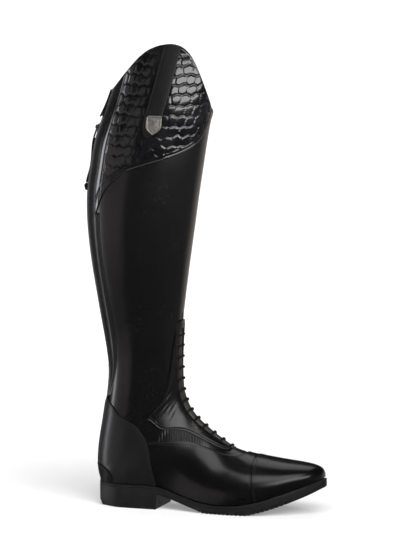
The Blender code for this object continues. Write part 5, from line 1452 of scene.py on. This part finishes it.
# Zip flap: a tab of matte leather with a rounded end, over the zip's top.
# It is sewn at the collar, and its lower end stands off the leg.
FLAP_HALF, FLAP_THICK, FLAP_TOP_Z, FLAP_END_Z, FLAP_KICK = 14.0, 1.3, 477.5, 445.5, 2.0
FLAP_ROUND, FLAP_END_WIDTH, FLAP_GAP = 0.22, 0.62, 0.45
share = np.linspace(0.0, 1.0, 48)[:, None]
distance = np.linspace(FLAP_HALF, -FLAP_HALF, 41)[None]
stations = RING_STATION + (blend(FLAP_END_Z, FLAP_TOP_Z, share) - RING_BASE_Z) / RING_STEP
round_end = np.sqrt(np.clip(1 - (1 - share / FLAP_ROUND) ** 2, 0.0, 1.0))
distance = distance * blend(FLAP_END_WIDTH, 1.0, np.where(share < FLAP_ROUND, round_end, 1.0))
side = np.where(distance > 0, 1.0, -1.0)
turns = side * (1 - np.abs(distance) / girth(stations, side))
under = PANEL_TOP + FLAP_GAP + FLAP_KICK * (1 - share) ** 3
top = under + FLAP_THICK
face = panel("zip_flap_leather", stations, turns, under, top, 0.35, matte, "matte_leather", "zip_flap")
rows = [(face, edge, 1.8) for edge in ("first_column", "last_column", "first_row")]
stitched("zip_flap_stitches", "matte_leather", *rows)

# Zip slider and pull tab: die-cast metal with a dark plating.
# The slider runs on the teeth, and the tab is hinged on its pin.
gunmetal = metal("gunmetal", (0.11, 0.11, 0.115), (0.24, 0.24, 0.25), 0.26, 0.9)
for node in ("zip_slider", "zip_pull"):
    made = frame["nodes"][node]
    made.data.materials.clear()
    made.data.materials.append(gunmetal)

# Pull cord: a short doubled length of round polyester braid, hanging from the tab's lower end.
# Its two strands are knotted together at the bottom.
CORD_DIAMETER, CORD_LENGTH, CORD_SPREAD, CORD_BOW, CORD_SETTLE, CORD_LIFT = 2.0, 52.0, 1.35, 1.5, 0.55, 1.7
SLIDER_Z, PIN_PLACE, TAB_LENGTH, SEAT_GAP = 433.0, 4.2, 14.0, 0.3
KNOT_RISE, KNOT_RISE_FROM, KNOT_ROUND, KNOT_UP = 2.4, 0.6, 48, 25


def back_frame(z):
    """Points on the back line at heights z, and the directions outwards and up along the leg."""
    z = np.asarray(z, float)
    start = np.full(z.shape, HEEL_STATION)
    station = found_between(start, start + 22.0, lambda s: skin(s, -1.0)[..., 2] < z)
    climb = skin(station + 0.1, -1.0) - skin(station - 0.1, -1.0)
    climb /= np.linalg.norm(climb, axis=-1, keepdims=True)
    out = np.stack([-climb[..., 2], 0 * z, climb[..., 0]], axis=-1)
    return skin(station, -1.0), out, climb


at, out, climb = back_frame(np.array([SLIDER_Z]))
tab_end = at[0] + out[0] * PIN_PLACE - climb[0] * (TAB_LENGTH + SEAT_GAP)
share = np.linspace(0.0, 1.0, 30)
braid, place = new_finish("braided_cord")
plait = place.node(
    "ShaderNodeTexWave", {"bands_direction": "DIAGONAL"}, {"Vector": place, "Scale": 330.0, "Distortion": 1.5}
)
fuzz = place.noise(2600.0, 2.0)
strands = plait * 0.7 + fuzz * 0.4
shade = strands.mixed((0.004, 0.004, 0.004), (0.012, 0.0115, 0.0115))
paint(braid, {"Base Color": shade, "Normal": strands.bumped(0.00018, 0.7)})
paint(braid, {"Roughness": 0.62, "Specular IOR Level": 0.2})
cords = []
for side, node in ((1.0, "zip_cord_outer"), (-1.0, "zip_cord_inner")):
    at, out, climb = back_frame(tab_end[2] - CORD_LENGTH * share)
    stand_off = blend(PIN_PLACE, CORD_LIFT, eased(share / CORD_SETTLE))
    stand_off = stand_off + KNOT_RISE * eased((share - KNOT_RISE_FROM) / (1 - KNOT_RISE_FROM))
    points = at + out * stand_off[:, None]
    points[0] = tab_end
    points[:, 1] -= side * (CORD_SPREAD + CORD_BOW * np.sin(math.pi * share) ** 2)
    points = points * MM + np.array(BOOT_ORIGIN)
    curve = bpy.data.curves.new(node + "_braid", "CURVE")
    curve.dimensions = "3D"
    curve.bevel_depth = CORD_DIAMETER * MM / 2
    curve.bevel_resolution = 4
    curve.use_fill_caps = True
    spline = curve.splines.new("POLY")
    spline.points.add(len(points) - 1)
    for spot, point in zip(spline.points, points):
        spot.co = (*point, 1.0)
    strand = bpy.data.objects.new(node + "_braid", curve)
    bpy.context.scene.collection.objects.link(strand)
    fitted(strand, braid, "black_textile", node, body="pull")
    cords.append((strand, points))
knot_low, knot_high = (np.array(corner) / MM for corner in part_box("zip_cord_knot"))
turn_round, turn_up = np.mgrid[0:KNOT_ROUND, 0:KNOT_UP]
longitude, latitude = turn_round * 2 * math.pi / KNOT_ROUND, (turn_up / (KNOT_UP - 1) - 0.5) * math.pi
wraps = 1 + 0.13 * np.cos(3 * longitude + 5.0 * latitude) * np.cos(latitude) - 0.06
ball = np.stack(
    [np.cos(latitude) * np.cos(longitude), np.cos(latitude) * np.sin(longitude), np.sin(latitude)], axis=-1
)
ball = ball * wraps[..., None] * (knot_high - knot_low) / 2 + (knot_low + knot_high) / 2
index = np.arange(KNOT_ROUND * KNOT_UP).reshape(KNOT_ROUND, KNOT_UP)
after = np.roll(index, -1, axis=0)
knot_faces = np.stack([index[:, :-1], after[:, :-1], after[:, 1:], index[:, 1:]], axis=-1).reshape(-1, 4)
knot = solid("zip_cord_knot_braid", ball.reshape(-1, 3) - np.array(BOOT_ORIGIN) / MM, knot_faces)
mended(knot, (bpy.ops.mesh.remove_doubles, {"threshold": 1e-6}))
fitted(knot, braid, "black_textile", "zip_cord_knot", body="pull")
for k, (strand, points) in enumerate(cords):
    [knot] if k == 0 else []

# Laces: thin waxed round cord in bars across the throat.
# The ends of each bar are tucked down into the facing.
LACE_RADIUS, LACE_BARS, LACE_REACH, LACE_FROM, LACE_TO = 1.1, 13, 12.5, 20.2, 8.15
LACE_OVERLAP, LACE_SINK, LACE_SAG, LACE_TUCK = 3.6, 0.3, 0.5, 2.6
LACE_RINGS, LACE_SIDES, LACE_PLAIT, PLAIT_DEPTH = 61, 12, 7.0, 0.09


def loop_faces(rows, columns):
    """Faces of a tube whose rows of points close round."""
    index = np.arange(rows * columns).reshape(rows, columns)
    after = np.roll(index, -1, axis=1)
    return np.stack([index[:-1], after[:-1], after[1:], index[1:]], axis=-1).reshape(-1, 4)


dense = np.linspace(LACE_FROM, LACE_TO, 160)
run = running_length(skin(dense, 0.0))
bar_stations = np.interp(np.linspace(0.0, run[-1], LACE_BARS), run, dense)
bar_share = np.linspace(-1.0, 1.0, LACE_RINGS)
all_points, all_faces = [], []
around = np.linspace(0.0, 2 * math.pi, LACE_SIDES, endpoint=False)
tube_faces = loop_faces(LACE_RINGS, LACE_SIDES)
for k, station in enumerate(bar_stations):
    stations = np.full(LACE_RINGS, station)
    full = girth(stations, np.where(bar_share < 0, -1.0, 1.0))
    reach_here = min(LACE_REACH, throat_half(np.array(station)) + LACE_OVERLAP)
    dive = eased((np.abs(bar_share) - 0.86) / 0.14)
    height = OVERLAY_TOP + LACE_RADIUS - LACE_SINK - LACE_SAG * (1 - bar_share**2) - LACE_TUCK * dive
    middle, normal = raised(stations, bar_share * reach_here / full, height)
    along = np.gradient(middle, axis=0)
    along /= np.linalg.norm(along, axis=1)[:, None]
    across = np.cross(normal, along)
    across /= np.linalg.norm(across, axis=1)[:, None]
    out = np.cross(along, across)
    twist = 2 * math.pi * np.arange(LACE_RINGS)[:, None] / LACE_PLAIT
    radius = LACE_RADIUS * (1 + PLAIT_DEPTH * np.cos(3 * around[None] + twist))
    tube = middle[:, None] + across[:, None] * (np.cos(around) * radius)[..., None]
    tube = tube + out[:, None] * (np.sin(around) * radius)[..., None]
    all_faces.append(tube_faces + LACE_RINGS * LACE_SIDES * k)
    all_points.append(tube.reshape(-1, 3))
laces = solid("lace_bars", np.concatenate(all_points), np.concatenate(all_faces))
fitted(laces, braid, "black_textile", "laces")

# Outsole: one moulding of matte black rubber with a low heel, a welt line and a ribbed tread.
# It is cemented under the lasted upper.
# Columns of the underside in front of the heel: x, z
SOLE_UNDER = [
    (77.5, 17.6),
    (92.0, 13.4),
    (108.0, 8.4),
    (123.0, 4.0),
    (138.0, 0.0),
    (184.0, 0.0),
    (198.0, 2.8),
    (213.0, 7.2),
    (238.0, 16.4),
    (256.0, 24.2),
    (268.0, 30.5),
]
HEEL_BREAST_X, HEEL_BREAST_RUN, HEEL_TAPER, UNDER_ROUND = 75.5, 2.0, 1.8, 1.2
RIB_FROM, RIB_TO, RIB_PITCH, RIB_DEPTH, RIB_LAND, RIB_FLANK = 128.0, 230.0, 5.1, 2.0, 0.6, 0.09


def sole_under(x):
    """Height of the sole's underside, with the heel on the floor and grooves between the ribs."""
    arch = along_table(x, SOLE_UNDER)
    breast = eased((x - HEEL_BREAST_X) / HEEL_BREAST_RUN) * SOLE_UNDER[0][1]
    plain = np.where(x < HEEL_BREAST_X + HEEL_BREAST_RUN, breast, arch)
    phase = ((x - RIB_FROM) / RIB_PITCH) % 1.0
    groove = eased((phase - RIB_LAND) / RIB_FLANK) * eased((1 - phase) / RIB_FLANK)
    return plain + np.where((x > RIB_FROM) & (x < RIB_TO), RIB_DEPTH * groove, 0.0)


dense = np.linspace(0.0, OUTLINE_END, 2000)
cross_cuts = [
    np.arange(26.0, 74.0, 2.0),
    np.linspace(75.0, 78.0, 13),
    np.arange(80.0, 127.0, 2.0),
    np.arange(127.5, 231.0, RIB_PITCH / 12),
    np.arange(232.0, 252.0, 1.5),
]
places = np.interp(np.concatenate(cross_cuts), through(OUTLINE, dense)[:, 0], dense)
places = np.concatenate([np.linspace(0.0, 1.6, 40), places, np.linspace(11.0, OUTLINE_END, 44)])
places = np.unique(np.round(places, 5))
x = through(OUTLINE, places)[:, 0]
sole_height = along_table(x, SOLE_TOP)
taper = HEEL_TAPER * np.clip(1 - x / HEEL_BREAST_X, 0.0, 1.0) + UNDER_ROUND
under_here = sole_under(x)
# Columns of the side's profile: inset, drop from the top, share of the rest of the way down
SIDE_PROFILE = [
    (1.0, 0.0, 0.0),
    (0.3, 0.15, 0.0),
    (0.0, 0.7, 0.0),
    (0.0, 2.0, 0.0),
    (0.5, 2.4, 0.0),
    (0.5, 2.9, 0.0),
    (0.05, 3.3, 0.0),
    (0.0, 3.3, 0.35),
    (0.15, 3.3, 0.75),
]
rings = []
for inset, drop, share in SIDE_PROFILE:
    z = blend(sole_height - drop, under_here, share)
    rings.append([np.concatenate([line, z[:, None]], axis=1) for line in outline_branches(places, inset)])
edge_lines, inset_lines = outline_branches(places, 0.0), outline_branches(places, 1.0)
for share, z in ((0.75, under_here + 0.25), (1.25, under_here)):
    way_in = (share * taper)[:, None]
    lines = [edge + (inset - edge) * way_in for edge, inset in zip(edge_lines, inset_lines)]
    rings.append([np.concatenate([line, z[:, None]], axis=1) for line in lines])
outer = np.stack([ring[0] for ring in rings], axis=1)
inner = np.stack([ring[1] for ring in rings], axis=1)
spread = np.linspace(0.0, 1.0, 15)[1:-1]
tread = np.stack([blend(outer[:, -1], inner[:, -1], s) for s in spread], axis=1)
deck = np.stack([blend(inner[:, 0], outer[:, 0], s) for s in spread], axis=1)
loop = np.concatenate([outer, tread, inner[:, ::-1], deck], axis=1)
sole = solid("outsole_rubber", loop.reshape(-1, 3), loop_faces(*loop.shape[:2]))
mended(
    sole,
    (bpy.ops.mesh.remove_doubles, {"threshold": 2e-6}),
    (bpy.ops.mesh.select_all, {"action": "DESELECT"}),
    (bpy.ops.mesh.select_non_manifold, {}),
    (bpy.ops.mesh.fill, {}),
)
bpy.ops.object.select_all(action="DESELECT")
sole.select_set(True)
bpy.ops.object.shade_smooth_by_angle(angle=math.radians(35.0))
rubber, place = new_finish("sole_rubber")
speck = place.noise(1500.0, 3.0, 0.6)
scuff = place.noise(90.0, 5.0, 0.7).between(0.52, 0.75)
height_up = place.node("ShaderNodeSeparateXYZ", None, {0: place}, output="Z")
dusty = scuff * (1 - height_up.between(0.0, 0.012)) * 0.6 + scuff * 0.25
colour = dusty.mixed((0.0130, 0.0127, 0.0133), (0.042, 0.040, 0.038))
paint(rubber, {"Base Color": colour, "Roughness": 0.52 + scuff * 0.2, "Normal": speck.bumped(0.00006, 0.5)})
fitted(sole, rubber, "sole_rubber", "outsole")
